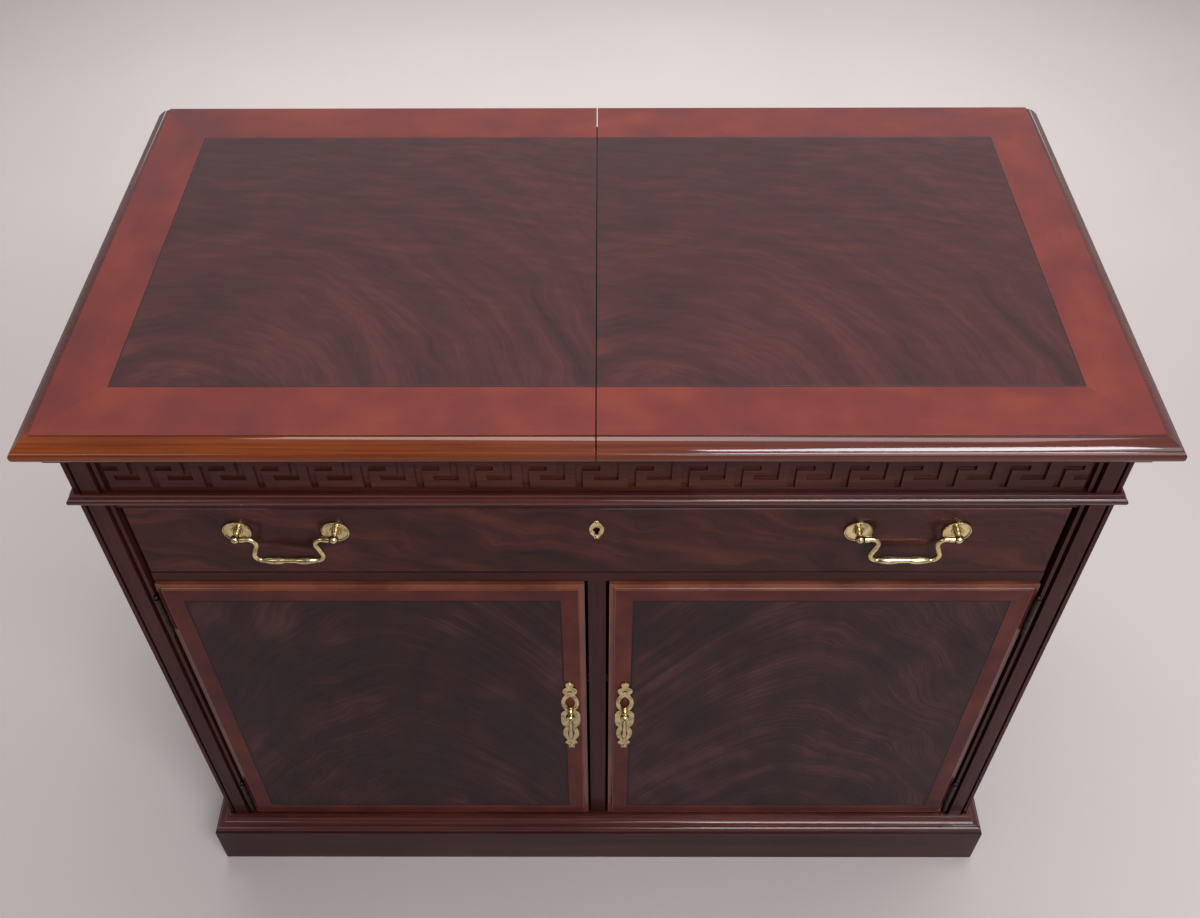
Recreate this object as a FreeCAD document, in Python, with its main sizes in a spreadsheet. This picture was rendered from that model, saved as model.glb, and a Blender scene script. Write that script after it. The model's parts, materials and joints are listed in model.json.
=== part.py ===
import FreeCAD, Part
import math
import os
import Sketcher

# A drinks cabinet with a top that flips open to both sides, one drawer and a two-door cupboard.
# Lengths are in millimetres. X runs to the right as seen from the front, Y to the back and Z up.
# The origin is on the floor, under the middle of the top.

SIZES = (
    # The whole cabinet
    ("top_width", 1067, "width over the top's edge moulding"),
    ("top_depth", 559, "depth of the top"),
    ("top_overhang", 26.5, "top beyond the case, at the front and ends"),
    ("back_overhang", 6, "top beyond the case, at the back"),
    # The two leaves of the top
    ("leaf_thickness", 22, "thickness of a leaf"),
    ("seam_gap", 1.2, "gap between the two leaves"),
    ("rest_gap", 0.3, "gap under a leaf at rest"),
    ("lip_width", 17, "moulded edge, from its lip line outwards"),
    ("lip_step", 1.6, "step down at the lip line"),
    ("lip_bulge", 1.5, "roundness of the slope below the lip line"),
    ("nose_width", 3.6, "round nose, from its shoulder outwards"),
    ("nose_top", 7.6, "nose's shoulder below the surface"),
    ("nose_bulge", 1.1, "roundness of the nose"),
    ("lip_drop", 13.8, "widest point of the edge below the surface"),
    ("under_inset", 5, "edge drawn in at the underside"),
    ("under_bulge", 1.6, "roundness of the edge below its widest point"),
    ("border_end", 74.3, "veneered border at the ends"),
    ("border_front", 80.3, "veneered border at the front"),
    ("border_back", 64.3, "veneered border at the back"),
    ("veneer_thickness", 1, "thickness of the inlaid fields"),
    ("lining_margin", 32, "wood left round the lining under a leaf"),
    # The board under the leaves and its flip hinges
    ("sub_top_thickness", 16, "board under the leaves"),
    ("sub_top_inset", 17.5, "board drawn in from the leaves' edges"),
    ("serving_margin", 40, "wood left round the serving surface"),
    ("flip_gap", 1, "open leaf's edge to the board's end"),
    ("flip_hinge_length", 64, "length of a flip hinge"),
    ("flip_hinge_place", 175, "flip hinge from the cabinet's middle"),
    ("flip_knuckle_radius", 4, "radius of its knuckles"),
    ("flip_pin_radius", 1.5, "radius of its pin"),
    ("flip_plate_thickness", 2, "thickness of its plates"),
    ("flip_plate_width", 26, "width of the plate under a leaf"),
    ("flip_plate_drop", 13, "height of the plate on the board's end"),
    ("flip_arm_thickness", 2.4, "thickness of the arm to the knuckles"),
    ("notch_gap", 0.5, "room round a hinge in the wood"),
    # The case
    ("stile_width", 32.5, "corner stile, across the front"),
    ("stile_depth", 22, "corner stile, front to back"),
    ("outer_strip", 4.5, "narrow strip at the outer corner"),
    ("outer_groove", 4, "groove outside the pilaster"),
    ("pilaster_width", 16.5, "raised face of the corner stile"),
    ("inner_groove", 3.5, "groove inside the pilaster"),
    ("groove_depth", 7, "depth of both grooves"),
    ("strip_setback", 2, "strips behind the pilaster's face"),
    ("side_thickness", 18, "side panels"),
    ("back_thickness", 6, "back panel"),
    ("frame_recess", 4.5, "rail and centre stile behind the pilasters"),
    ("frame_thickness", 19, "rail and centre stile, front to back"),
    ("centre_stile_width", 19.6, "stile between the doors"),
    ("rail_height", 14.5, "rail between the drawer and the doors"),
    ("rail_tongue", 8, "front of the rail that stops short of the stiles"),
    ("rail_depth", 40, "rail, front to back"),
    ("front_gap", 2, "closed drawer's front to what is behind it"),
    ("panel_thickness", 8, "panel under the drawer"),
    ("back_rail_height", 70, "rail at the back, under the board"),
    # The base
    ("plinth_height", 74, "height of the plinth"),
    ("plinth_thickness", 30, "thickness of its boards"),
    ("plinth_projection", 20.9, "plinth beyond the case"),
    ("base_moulding_height", 19, "moulding on the plinth"),
    # The frieze and the moulding under it
    ("waist_rise", 14, "drawer opening's top to the waist moulding"),
    ("waist_height", 13, "height of the waist moulding"),
    ("waist_projection", 7.2, "waist moulding beyond the case"),
    ("frieze_recess", 5.5, "floor of the fret's channels behind the pilasters"),
    ("key_backing", 1.5, "back of the fret strip"),
    ("key_depth", 3, "depth of the fret's channels"),
    ("key_foot", 5, "plain band under the fret"),
    ("key_height", 42.5, "height of the fret"),
    ("key_head", 6.4, "plain band above the fret"),
    ("key_pitch", 51, "one unit of the fret"),
    ("key_channel", 7, "width of its channels"),
    ("key_arm", 23.8, "length of a unit's arms"),
    ("key_drop_place", 34.2, "second channel's place in a unit"),
    ("key_open", 11, "a channel's end to the band that it doesn't reach"),
    ("key_shift", 20, "first unit left of the middle"),
    # The doors
    ("door_height", 526, "height of a door"),
    ("door_gap", 2.2, "gap above and below a door"),
    ("middle_gap", 3.4, "gap between a door and the centre stile"),
    ("door_thickness", 20, "thickness of a door"),
    ("door_proud", 1.5, "door's face in front of the pilasters"),
    ("door_edge_width", 7, "moulded edge of a door"),
    ("door_edge_step", 1.2, "fillet inside the moulded edge"),
    ("door_edge_rise", 3, "moulded edge from its arris to the face"),
    ("door_edge_bulge", 0.9, "roundness of the moulded edge"),
    ("door_border", 20.5, "veneered border of a door"),
    # The door hinges
    ("jamb_gap", 5, "gap at the hinged edge, beside the drawer and beside the fret"),
    ("hinge_height", 62, "height of a door hinge"),
    ("hinge_place", 22, "hinge from the door's top or bottom"),
    ("hinge_plate_thickness", 1.2, "thickness of its plates"),
    ("hinge_plate_width", 15, "width of its plates"),
    ("hinge_knuckle_radius", 3, "radius of its knuckles"),
    ("hinge_pin_radius", 1.3, "radius of its pin"),
    ("hinge_ball_radius", 2.7, "ball tips of its pin"),
    ("hinge_stand_off", 3.6, "pin's axis in front of the stile's strip"),
    ("knuckle_gap", 0.3, "gap between knuckles"),
    ("running_gap", 0.08, "a pin's clearance in its hole"),
    # The drawer
    ("drawer_front_height", 103.6, "height of the drawer's front"),
    ("drawer_front_thickness", 20, "thickness of the drawer's front"),
    ("drawer_gap", 0.8, "gap below the drawer's front"),
    ("drawer_top_gap", 2.5, "gap above the drawer's front"),
    ("drawer_bevel", 1.2, "bevel round the drawer's front"),
    ("drawer_box_inset", 8, "drawer's sides inside the opening"),
    ("drawer_side_thickness", 12, "sides and back of the drawer"),
    ("drawer_bottom_thickness", 6, "bottom of the drawer"),
    ("drawer_rear_gap", 38, "closed drawer to the back panel"),
    ("drawer_bottom_rise", 8, "bottom above the sides' lower edge"),
    ("drawer_side_drop", 16, "sides below the front's top edge"),
    ("drawer_run_gap", 0.3, "drawer's sides above the runners"),
    ("drawer_guide_gap", 0.8, "drawer's sides to the guides"),
    ("guide_height", 24, "height of the drawer guides"),
    ("runner_width", 24, "runner inside the drawer's side"),
    ("kicker_height", 18, "height of the kickers above the drawer"),
    ("kicker_gap", 1.5, "gap under the kickers"),
    # The drawer lock
    ("lock_width", 42, "width of the lock"),
    ("lock_height", 40, "height of the lock"),
    ("lock_depth", 9, "depth of the lock"),
    ("lock_wall", 2, "plates of the lock"),
    ("bolt_width", 18, "width of its bolt"),
    ("bolt_height", 12, "height of its bolt"),
    ("bolt_thickness", 4.6, "thickness of its bolt"),
    ("bolt_travel", 7, "how far the bolt rises"),
    ("bolt_gap", 0.4, "room round the bolt"),
    ("escutcheon_width", 15, "width of the keyhole plate"),
    ("escutcheon_height", 28, "height of the keyhole plate"),
    ("escutcheon_thickness", 1.2, "thickness of the keyhole plate"),
    ("keyhole_radius", 3.7, "round part of the keyhole"),
    ("keyhole_width", 4.2, "slot of the keyhole"),
    ("keyhole_drop", 8, "slot below the keyhole's centre"),
    ("keyhole_fall", 31.3, "keyhole below the drawer front's top edge"),
    # The drawer pulls
    ("pull_margin", 156.5, "pull's middle from the drawer front's end"),
    ("pull_centres", 99, "between a pull's two posts"),
    ("pull_fall", 33.3, "a pull's posts below the drawer front's top edge"),
    ("rosette_radius", 14.8, "radius of a rosette"),
    ("rosette_thickness", 2.8, "thickness at its rim"),
    ("post_reach", 11.5, "post's ball in front of the drawer"),
    ("post_ball_radius", 4.6, "radius of the post's ball"),
    ("post_neck_radius", 3.1, "radius of the post's neck"),
    ("shank_radius", 2, "threaded shank of a post"),
    ("shank_room", 0.3, "room round a shank"),
    ("nut_radius", 5, "nut on a shank"),
    ("nut_thickness", 3, "thickness of a nut"),
    ("bail_pin_radius", 1.6, "bail's ends in the posts"),
    ("bail_pin_depth", 4, "bail's ends inside the balls"),
    ("bail_end_radius", 3.5, "thick ends of the bail beside the balls"),
    ("bail_end_length", 5.6, "length of a thick end"),
    ("bail_drop", 34, "bail's bottom below the posts"),
    ("bail_shoulder", 18, "bail's shoulder from its pin"),
    ("bail_tuck", 7, "bail's lower corner from its pin"),
    ("bail_bend", 8, "radius of the bail's bends"),
    ("bail_radius", 2.8, "radius of the bail"),
    ("swell_radius", 4.6, "swells on the bail's bottom"),
    ("swell_length", 20, "length of a swell"),
    ("collar_radius", 3.4, "collar in the bail's middle"),
    ("collar_length", 13, "length of the collar"),
    # The door pulls
    ("plate_height", 152, "height of a pull's plate"),
    ("plate_width", 23.4, "width of a pull's plate"),
    ("plate_thickness", 1.8, "thickness of a pull's plate"),
    ("plate_edge", 19.5, "plate's middle from the door's free edge"),
    ("plate_fall", 187.2, "plate's top below the door's top"),
    ("stud_place", 65, "post below the plate's top"),
    ("stud_reach", 7.8, "ball in front of the plate"),
    ("stud_ball_radius", 5.3, "radius of the ball"),
    ("stud_neck_radius", 3.2, "radius of the neck"),
    ("drop_length", 55, "pendant below its pivot"),
    ("drop_radius", 3.1, "pendant at its widest"),
    ("drop_neck_radius", 1.4, "pendant at its neck"),
    ("drop_tip_radius", 2, "knob at the pendant's end"),
    ("tongue_thickness", 2, "pendant's tongue in the ball"),
    ("tongue_radius", 2.3, "round end of the tongue"),
    ("slot_gap", 0.3, "room round the tongue"),
    ("drop_pin_radius", 0.8, "pin through the tongue"),
    # The inside of the cupboard
    ("shelf_thickness", 18, "shelf"),
    ("shelf_rise", 252, "shelf's underside above the bottom board"),
    ("shelf_gap", 1.5, "shelf to the side panels"),
    ("shelf_setback", 30, "shelf behind the centre stile"),
    ("shelf_pin_radius", 2.5, "shelf pins"),
    ("shelf_pin_length", 12, "shelf pins inside the cupboard"),
    ("shelf_pin_depth", 9, "shelf pins inside the side panels"),
    ("shelf_pin_place", 60, "shelf pins from the shelf's edges"),
    ("catch_length", 46, "door catches"),
    ("catch_depth", 14, "door catches, front to back"),
    ("catch_height", 12, "door catches"),
    ("catch_place", 60, "door catches from the middle"),
    ("overrun", 2, "how far a cutting shape runs past what it cuts"),
)

# Places of the lines of a profile, as shares of the moulding's projection and height.
# A third number is how far that stretch bows, as a share of the height.
BASE_PROFILE_SHARES = (
    (0, 0),
    (0.88, 0),
    (0.88, 0.08),
    (0.68, 0.41, 0.08),
    (0.61, 0.41),
    (0.61, 0.47),
    (0.26, 0.84, -0.1),
    (0.26, 0.9),
    (0.17, 0.9),
    (0.17, 1),
    (0, 1),
)
WAIST_PROFILE_SHARES = (
    (0, 0),
    (0.35, 0),
    (0.35, 0.74, 0.35),
    (0.44, 0.74),
    (0.44, 1),
    (0, 1),
)
# The right half of a pull's plate from its foot to its top: shares of its half width and height, and
# how far each stretch bows outwards, as a share of the half width.
PLATE_OUTLINE_SHARES = (
    (0.31, 0),
    (0.31, 0.05),
    (0.68, 0.075),
    (0.4, 0.125, 0.06),
    (0.54, 0.335, 0.37),
    (0.92, 0.39, 0.1),
    (1, 0.42),
    (1, 0.51),
    (0.9, 0.55, 0.04),
    (0.5, 0.588, 0.08),
    (0.47, 0.825, 0.42),
    (0.74, 0.885, 0.1),
    (0.3, 0.93, 0.1),
    (0.38, 0.955),
    (0, 1, 0.17),
)
# The pierced eye above the ball and the one below it: centre and half height as shares of the
# plate's height, half width as a share of its half width.
PLATE_EYES_SHARES = ((0.71, 0.086, 0.5), (0.235, 0.072, 0.36))
# The crescent over the eyes: its horns' height, its half width and its upper and lower bow.
PLATE_CRESCENT_SHARES = (0.857, 0.3, 0.28, 0.03)
# The right half of the keyhole's plate, given in the same way.
ESCUTCHEON_SHARES = (
    (0.12, 0),
    (0.34, 0.04, 0.1),
    (0.34, 0.09),
    (1, 0.5, 0.17),
    (0.34, 0.91, 0.17),
    (0.34, 0.96),
    (0, 1, 0.12),
)
# A rosette's outline: shares of its radius and of its thickness.
ROSETTE_SHARES = (
    (1, 0),
    (1, 0.55),
    (0.97, 0.95),
    (0.91, 1),
    (0.86, 0.55),
    (0.4, 0.35),
    (0.36, 0.75),
)
ROSETTE_MIDDLE_SHARE = 0.75
POST_COLLAR_SHARE = 1.25
# A swell's end beside the collar, as a share of the swell's greatest radius.
SWELL_END_SHARE = 0.85
# A ball on a neck: where the neck meets it, and how far its back and its front quarter bow.
BALL_NECK_SHARE = 0.84
BALL_BACK_BOW_SHARE = 0.122
QUARTER_BOW_SHARE = 1 - math.sqrt(0.5)
DROP_PIN_SHARE = 0.8
TONGUE_DEPTH_SHARE = 0.65
# A pendant from its pivot down: where it is widest and where it is slim again, over its knob.
DROP_WIDEST_SHARE = 0.74
DROP_SLIM_SHARE = 0.9
# Turned pieces start their turn at this angle, so that their seam stays clear of holes.
SEAM_ANGLE = 45
HINGE_KNUCKLES = 5
SIDES = (("left", -1), ("right", 1))

document = FreeCAD.newDocument("DrinksCabinet")
pieces = []


class Size:
    """A length, which knows both its number and the expression over the sheet that gives it."""

    def __init__(self, number, text):
        self.number = number
        self.text = text

    def __float__(self):
        return float(self.number)

    def __add__(self, other):
        return Size(self.number + float(other), f"({self.text} + {text_of(other)})")

    def __radd__(self, other):
        return Size(float(other) + self.number, f"({text_of(other)} + {self.text})")

    def __sub__(self, other):
        return Size(self.number - float(other), f"({self.text} - {text_of(other)})")

    def __rsub__(self, other):
        return Size(float(other) - self.number, f"({text_of(other)} - {self.text})")

    def __mul__(self, other):
        return Size(self.number * float(other), f"({self.text} * {text_of(other)})")

    def __rmul__(self, other):
        return Size(float(other) * self.number, f"({text_of(other)} * {self.text})")

    def __truediv__(self, other):
        return Size(self.number / float(other), f"({self.text} / {text_of(other)})")

    def __neg__(self):
        return Size(-self.number, f"(0 - {self.text})")


def text_of(item):
    """The expression of a Size or of a plain number."""
    return item.text if isinstance(item, Size) else f"({item})"


class Sheet:
    """The driving dimensions, each as an attribute with its own name."""

    def __init__(self):
        sheet = document.addObject("Spreadsheet::Sheet", "Sizes")
        for row, (name, number, meaning) in enumerate(SIZES, 1):
            sheet.set(f"A{row}", meaning)
            sheet.set(f"B{row}", str(number))
            sheet.setAlias(f"B{row}", name)
            setattr(self, name, Size(number, f"Sizes.{name}"))
        document.recompute()


s = Sheet()

# Places that follow from the sizes
top_half = s.top_width / 2
top_front = -s.top_depth / 2
top_back = s.top_depth / 2
case_half = top_half - s.top_overhang
case_front = top_front + s.top_overhang
case_back = top_back - s.back_overhang
frame_front = case_front + s.frame_recess
frame_back = frame_front + s.frame_thickness
rail_back = frame_front + s.rail_depth
stile_back = case_front + s.stile_depth
strip_front = case_front + s.strip_setback
jamb = case_half - s.stile_width
side_inner = case_half - s.side_thickness
back_inner = case_back - s.back_thickness

ledge_top = s.plinth_height + s.base_moulding_height
door_bottom = ledge_top + s.door_gap
door_top = door_bottom + s.door_height
rail_bottom = door_top + s.door_gap
rail_top = rail_bottom + s.rail_height
drawer_bottom = rail_top + s.drawer_gap
drawer_top = drawer_bottom + s.drawer_front_height
frieze_bottom = drawer_top + s.drawer_top_gap
waist_bottom = frieze_bottom + s.waist_rise
waist_top = waist_bottom + s.waist_height
key_bottom = waist_top + s.key_foot
board_bottom = key_bottom + s.key_height + s.key_head
board_top = board_bottom + s.sub_top_thickness
leaf_bottom = board_top + s.rest_gap
top_surface = leaf_bottom + s.leaf_thickness
board_half = top_half - s.sub_top_inset
board_front = top_front + s.sub_top_inset

flip_axis_x = (top_half + board_half + s.flip_gap) / 2
flip_axis_z = leaf_bottom - s.rest_gap / 2
hinge_axis_x = jamb - s.jamb_gap / 2
hinge_axis_y = strip_front - s.hinge_stand_off
door_front = case_front - s.door_proud
door_outer = jamb - s.jamb_gap
door_inner = s.centre_stile_width / 2 + s.middle_gap
plate_x = door_inner + s.plate_edge
plate_top = door_top - s.plate_fall
stud_z = plate_top - s.stud_place
shelf_bottom = ledge_top + s.shelf_rise
drawer_half = jamb - s.jamb_gap
box_half = jamb - s.drawer_box_inset
box_bottom = rail_top + s.drawer_run_gap
box_top = drawer_top - s.drawer_side_drop
drawer_front_back = frame_front + s.drawer_front_thickness
drawer_back_end = back_inner - s.drawer_rear_gap
frieze_back = drawer_front_back + s.front_gap
ball_y = frame_front - s.post_reach
pull_x = drawer_half - s.pull_margin
pull_z = drawer_top - s.pull_fall
keyhole_z = drawer_top - s.keyhole_fall


def keep(name, piece):
    """Names a finished piece and puts it with those that are written out."""
    piece.Label = name
    pieces.append(piece)
    return piece


def bind(piece, **sizes):
    """Ties properties to the sheet. A double underscore stands for the dot in a property's path."""
    for path, size in sizes.items():
        piece.setExpression(path.replace("__", "."), text_of(size))


def place(piece, x, y, z):
    """Ties a piece's position to the sheet."""
    bind(piece, Placement__Base__x=x, Placement__Base__y=y, Placement__Base__z=z)


def board(name, x, y, z):
    """A rectangular board between two places along each axis."""
    piece = document.addObject("Part::Box", name)
    bind(piece, Length=x[1] - x[0], Width=y[1] - y[0], Height=z[1] - z[0])
    place(piece, x[0], y[0], z[0])
    return piece


def across(sign, low, high):
    """Two places along X, mirrored to the left where sign is -1, lower one first."""
    return (low, high) if sign > 0 else (-high, -low)


def rod(name, start, axis, radius, length):
    """A round bar from a point along an axis."""
    piece = document.addObject("Part::Cylinder", name)
    bind(piece, Radius=radius, Height=length)
    turn = FreeCAD.Rotation(FreeCAD.Vector(0, 0, 1), FreeCAD.Vector(*axis))
    piece.Placement = FreeCAD.Placement(FreeCAD.Vector(), turn)
    place(piece, *start)
    return piece


def ball(name, centre, radius):
    """A whole ball."""
    piece = document.addObject("Part::Sphere", name)
    bind(piece, Radius=radius)
    place(piece, *centre)
    return piece


def cut(name, base, *tools):
    """The base without each of the tools."""
    for number, tool in enumerate(tools):
        piece = document.addObject("Part::Cut", f"{name}_cut_{number}")
        piece.Base = base
        piece.Tool = tool
        base = piece
    return base


def joined(name, parts):
    """Several shapes grown into one."""
    piece = document.addObject("Part::MultiFuse", f"{name}_joined")
    piece.Shapes = parts
    piece.Refine = True
    return piece


def shared(name, parts):
    """What several shapes have in common."""
    piece = document.addObject("Part::MultiCommon", f"{name}_common")
    piece.Shapes = parts
    return piece


def group(name, parts):
    """Like pieces that stay separate solids."""
    piece = document.addObject("Part::Compound", f"{name}_group")
    piece.Links = parts
    return piece


def body_plane(body, role):
    """One of the three planes through a body's own origin."""
    return next(feature for feature in body.Origin.OriginFeatures if feature.Role == role)


def arc_geometry(start, end, bow):
    """An arc that bows to the right of its direction by that much, or to the left if negative."""
    chord = end - start
    radius = (chord.Length**2 / 4 + bow**2) / (2 * abs(bow))
    side = math.copysign(1, bow)
    right = FreeCAD.Vector(chord.y, -chord.x, 0).normalize()
    centre = (start + end) / 2 + right * (bow - side * radius)
    first, last = (start, end) if bow > 0 else (end, start)
    angles = [math.atan2(point.y - centre.y, point.x - centre.x) for point in (first, last)]
    circle = Part.Circle(centre, FreeCAD.Vector(0, 0, 1), radius)
    if angles[1] < angles[0]:
        angles[1] += 2 * math.pi
    return Part.ArcOfCircle(circle, *angles)


def tie_point(sketch, edge, end, point):
    """Holds one end of an edge at a place measured from the sketch's origin."""
    for kind, size in zip(("DistanceX", "DistanceY"), point):
        number = sketch.addConstraint(Sketcher.Constraint(kind, -1, 1, edge, end, float(size)))
        if isinstance(size, Size):
            sketch.setExpression(f"Constraints[{number}]", size.text)


def tie_radius(sketch, edge, start, end, bow):
    """Gives an arc the radius that makes it bow by that much."""
    run = end[0] - start[0]
    rise = end[1] - start[1]
    radius = (run * run / 4 + rise * rise / 4 + bow * bow) / (2 * bow)
    if float(bow) < 0:
        radius = -radius
    number = sketch.addConstraint(Sketcher.Constraint("Radius", edge, float(radius)))
    sketch.setExpression(f"Constraints[{number}]", text_of(radius))


def draw(sketch, outline, closed=True):
    """Draws an outline: (u, v) ends a straight stretch, (u, v, bow) ends an arc."""
    corners = [FreeCAD.Vector(float(point[0]), float(point[1]), 0) for point in outline]
    for number, point in enumerate(outline):
        if number == 0 and not closed:
            continue
        before = outline[number - 1]
        start, end = corners[number - 1], corners[number]
        if len(point) == 2:
            edge = sketch.addGeometry(Part.LineSegment(start, end))
            first, last = before, point
        else:
            edge = sketch.addGeometry(arc_geometry(start, end, float(point[2])))
            first, last = (before, point) if float(point[2]) > 0 else (point, before)
            tie_radius(sketch, edge, before, point, point[2])
        tie_point(sketch, edge, 1, first[:2])
        tie_point(sketch, edge, 2, last[:2])


def outline_sketch(body, name, role, outline, offset=0, closed=True):
    """An outline on one of the body's planes, moved along the plane's normal."""
    sketch = body.newObject("Sketcher::SketchObject", name)
    sketch.AttachmentSupport = [(body_plane(body, role), "")]
    sketch.MapMode = "FlatFace"
    bind(sketch, AttachmentOffset__Base__z=offset)
    draw(sketch, outline, closed)
    return sketch


def prism(name, plane, outline, start, length):
    """An outline in plane XY, XZ or YZ, pushed out along the third axis from its lower end."""
    body = document.addObject("PartDesign::Body", name)
    offset = -(start + length) if plane == "XZ" else start
    sketch = outline_sketch(body, f"{name}_outline", f"{plane}_Plane", outline, offset)
    pad = body.newObject("PartDesign::Pad", f"{name}_pad")
    pad.Profile = sketch
    bind(pad, Length=length)
    return body


def turned(name, outline, origin, axis):
    """A turned piece. Its outline is (distance from the axis, distance along it)."""
    body = document.addObject("PartDesign::Body", name)
    sketch = outline_sketch(body, f"{name}_outline", "XZ_Plane", outline)
    revolution = body.newObject("PartDesign::Revolution", f"{name}_turning")
    revolution.Profile = sketch
    revolution.ReferenceAxis = (sketch, ["V_Axis"])
    revolution.Angle = 360
    turn = FreeCAD.Rotation(FreeCAD.Vector(0, 0, 1), FreeCAD.Vector(*axis))
    seam = FreeCAD.Rotation(FreeCAD.Vector(0, 0, 1), SEAM_ANGLE)
    body.Placement = FreeCAD.Placement(FreeCAD.Vector(), turn.multiply(seam))
    place(body, *origin)
    return body


def rectangle(u, v):
    """The outline of a rectangle between two places each way."""
    return [(u[0], v[0]), (u[1], v[0]), (u[1], v[1]), (u[0], v[1])]


def profile(shares, projection, bottom, height):
    """A moulding's profile as (projection, height above the floor) from its shares."""
    points = []
    for out, up, *bow in shares:
        point = (out * projection, bottom + up * height)
        points.append(point + tuple(share * height for share in bow))
    return points


def case_corner(out):
    """The point in plan that stands out from the case's front corner by that much, both ways."""
    return case_half + out, case_front - out


def mitred_run(name, points, side, projection, inner, bottom, top):
    """One length of a moulding round the case, mitred at the front corners."""
    tip, root = case_corner(projection + s.overrun), case_corner(inner - s.overrun)
    low, high = bottom - s.overrun, top + s.overrun
    if side == 0:
        outline = [(case_front - out, up, *[-b for b in bow]) for out, up, *bow in points]
        reach = case_half + projection
        run = prism(name, "YZ", outline, -reach, 2 * reach)
        wedges = []
        for sign in (-1, 1):
            corner = [(sign * tip[0], tip[1]), (sign * root[0], root[1]), (sign * tip[0], root[1])]
            wedges.append(prism(f"{name}_wedge", "XY", corner, low, high - low))
        return cut(name, run, *wedges)
    outline = [(side * (case_half + out), up, *[side * b for b in bow]) for out, up, *bow in points]
    front = case_front - projection
    run = prism(name, "XZ", outline, front, case_back - front)
    corner = [(side * tip[0], tip[1]), (side * root[0], root[1]), (side * root[0], tip[1])]
    wedge = prism(f"{name}_wedge", "XY", corner, low, high - low)
    return cut(name, run, wedge)


def mitred_runs(name, points, projection, inner, bottom, top):
    """The front, left and right lengths of a moulding."""
    return [mitred_run(f"{name}_{side}", points, side, projection, inner, bottom, top) for side in (0, -1, 1)]


def make_plinth():
    """Four boards that stand on the floor: the front and side ones meet in mitres."""
    inner = s.plinth_projection - s.plinth_thickness
    outline = rectangle((inner, s.plinth_projection), (0, s.plinth_height))
    runs = mitred_runs("plinth", outline, s.plinth_projection, inner, 0, s.plinth_height)
    keep("plinth_front", runs[0])
    keep("plinth_sides", group("plinth_sides", runs[1:]))
    half = case_half - s.plinth_thickness + s.plinth_projection
    depth = (case_back - s.plinth_thickness, case_back)
    back = board("plinth_back_board", (-half, half), depth, (0, s.plinth_height))
    keep("plinth_back", back)


def make_mouldings():
    """The stepped moulding on the plinth and the beaded one at the waist, each of three lengths."""
    for name, shares, projection, bottom, height in (
        ("base_moulding", BASE_PROFILE_SHARES, s.plinth_projection, s.plinth_height, s.base_moulding_height),
        ("waist_moulding", WAIST_PROFILE_SHARES, s.waist_projection, waist_bottom, s.waist_height),
    ):
        points = profile(shares, projection, bottom, height)
        runs = mitred_runs(name, points, projection, 0, bottom, bottom + height)
        keep(name, group(name, runs))


def make_corner_stiles():
    """The front corner stiles: a raised pilaster face between two grooves and two narrow strips."""
    strip = strip_front
    groove = case_front + s.groove_depth
    steps = [
        (case_half, strip),
        (case_half - s.outer_strip, strip),
        (case_half - s.outer_strip, groove),
        (case_half - s.outer_strip - s.outer_groove, groove),
        (case_half - s.outer_strip - s.outer_groove, case_front),
        (case_half - s.outer_strip - s.outer_groove - s.pilaster_width, case_front),
        (case_half - s.outer_strip - s.outer_groove - s.pilaster_width, groove),
        (case_half - s.outer_strip - s.outer_groove - s.pilaster_width - s.inner_groove, groove),
        (case_half - s.outer_strip - s.outer_groove - s.pilaster_width - s.inner_groove, strip),
        (jamb, strip),
        (jamb, stile_back),
        (case_half, stile_back),
    ]
    for name, sign in SIDES:
        outline = [(sign * x, y) for x, y in steps]
        stile = prism(f"stile_{name}", "XY", outline, s.plinth_height, board_bottom - s.plinth_height)
        keep(f"corner_stile_{name}", stile)


def make_panels():
    """The side panels, the bottom, the back and the rail across the top of the back."""
    height = (s.plinth_height, board_bottom)
    for name, sign in SIDES:
        panel = board(f"side_{name}", across(sign, side_inner, case_half), (stile_back, case_back), height)
        reach = s.shelf_pin_depth
        starts = [(sign * side_inner, y, shelf_pin_z()) for y in shelf_pin_places()]
        holes = [rod("pin_hole", start, (sign, 0, 0), s.shelf_pin_radius, reach) for start in starts]
        keep(f"side_panel_{name}", cut(f"side_panel_{name}", panel, *holes))
    outline = [
        (-jamb, case_front),
        (jamb, case_front),
        (jamb, stile_back),
        (side_inner, stile_back),
        (side_inner, back_inner),
        (-side_inner, back_inner),
        (-side_inner, stile_back),
        (-jamb, stile_back),
    ]
    keep("bottom_board", prism("bottom", "XY", outline, s.plinth_height, s.base_moulding_height))
    keep("back_panel", board("back", (-side_inner, side_inner), (back_inner, case_back), height))
    rail = board(
        "rear_rail",
        (-side_inner, side_inner),
        (back_inner - s.frame_thickness, back_inner),
        (board_bottom - s.back_rail_height, board_bottom),
    )
    keep("back_rail", rail)


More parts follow.
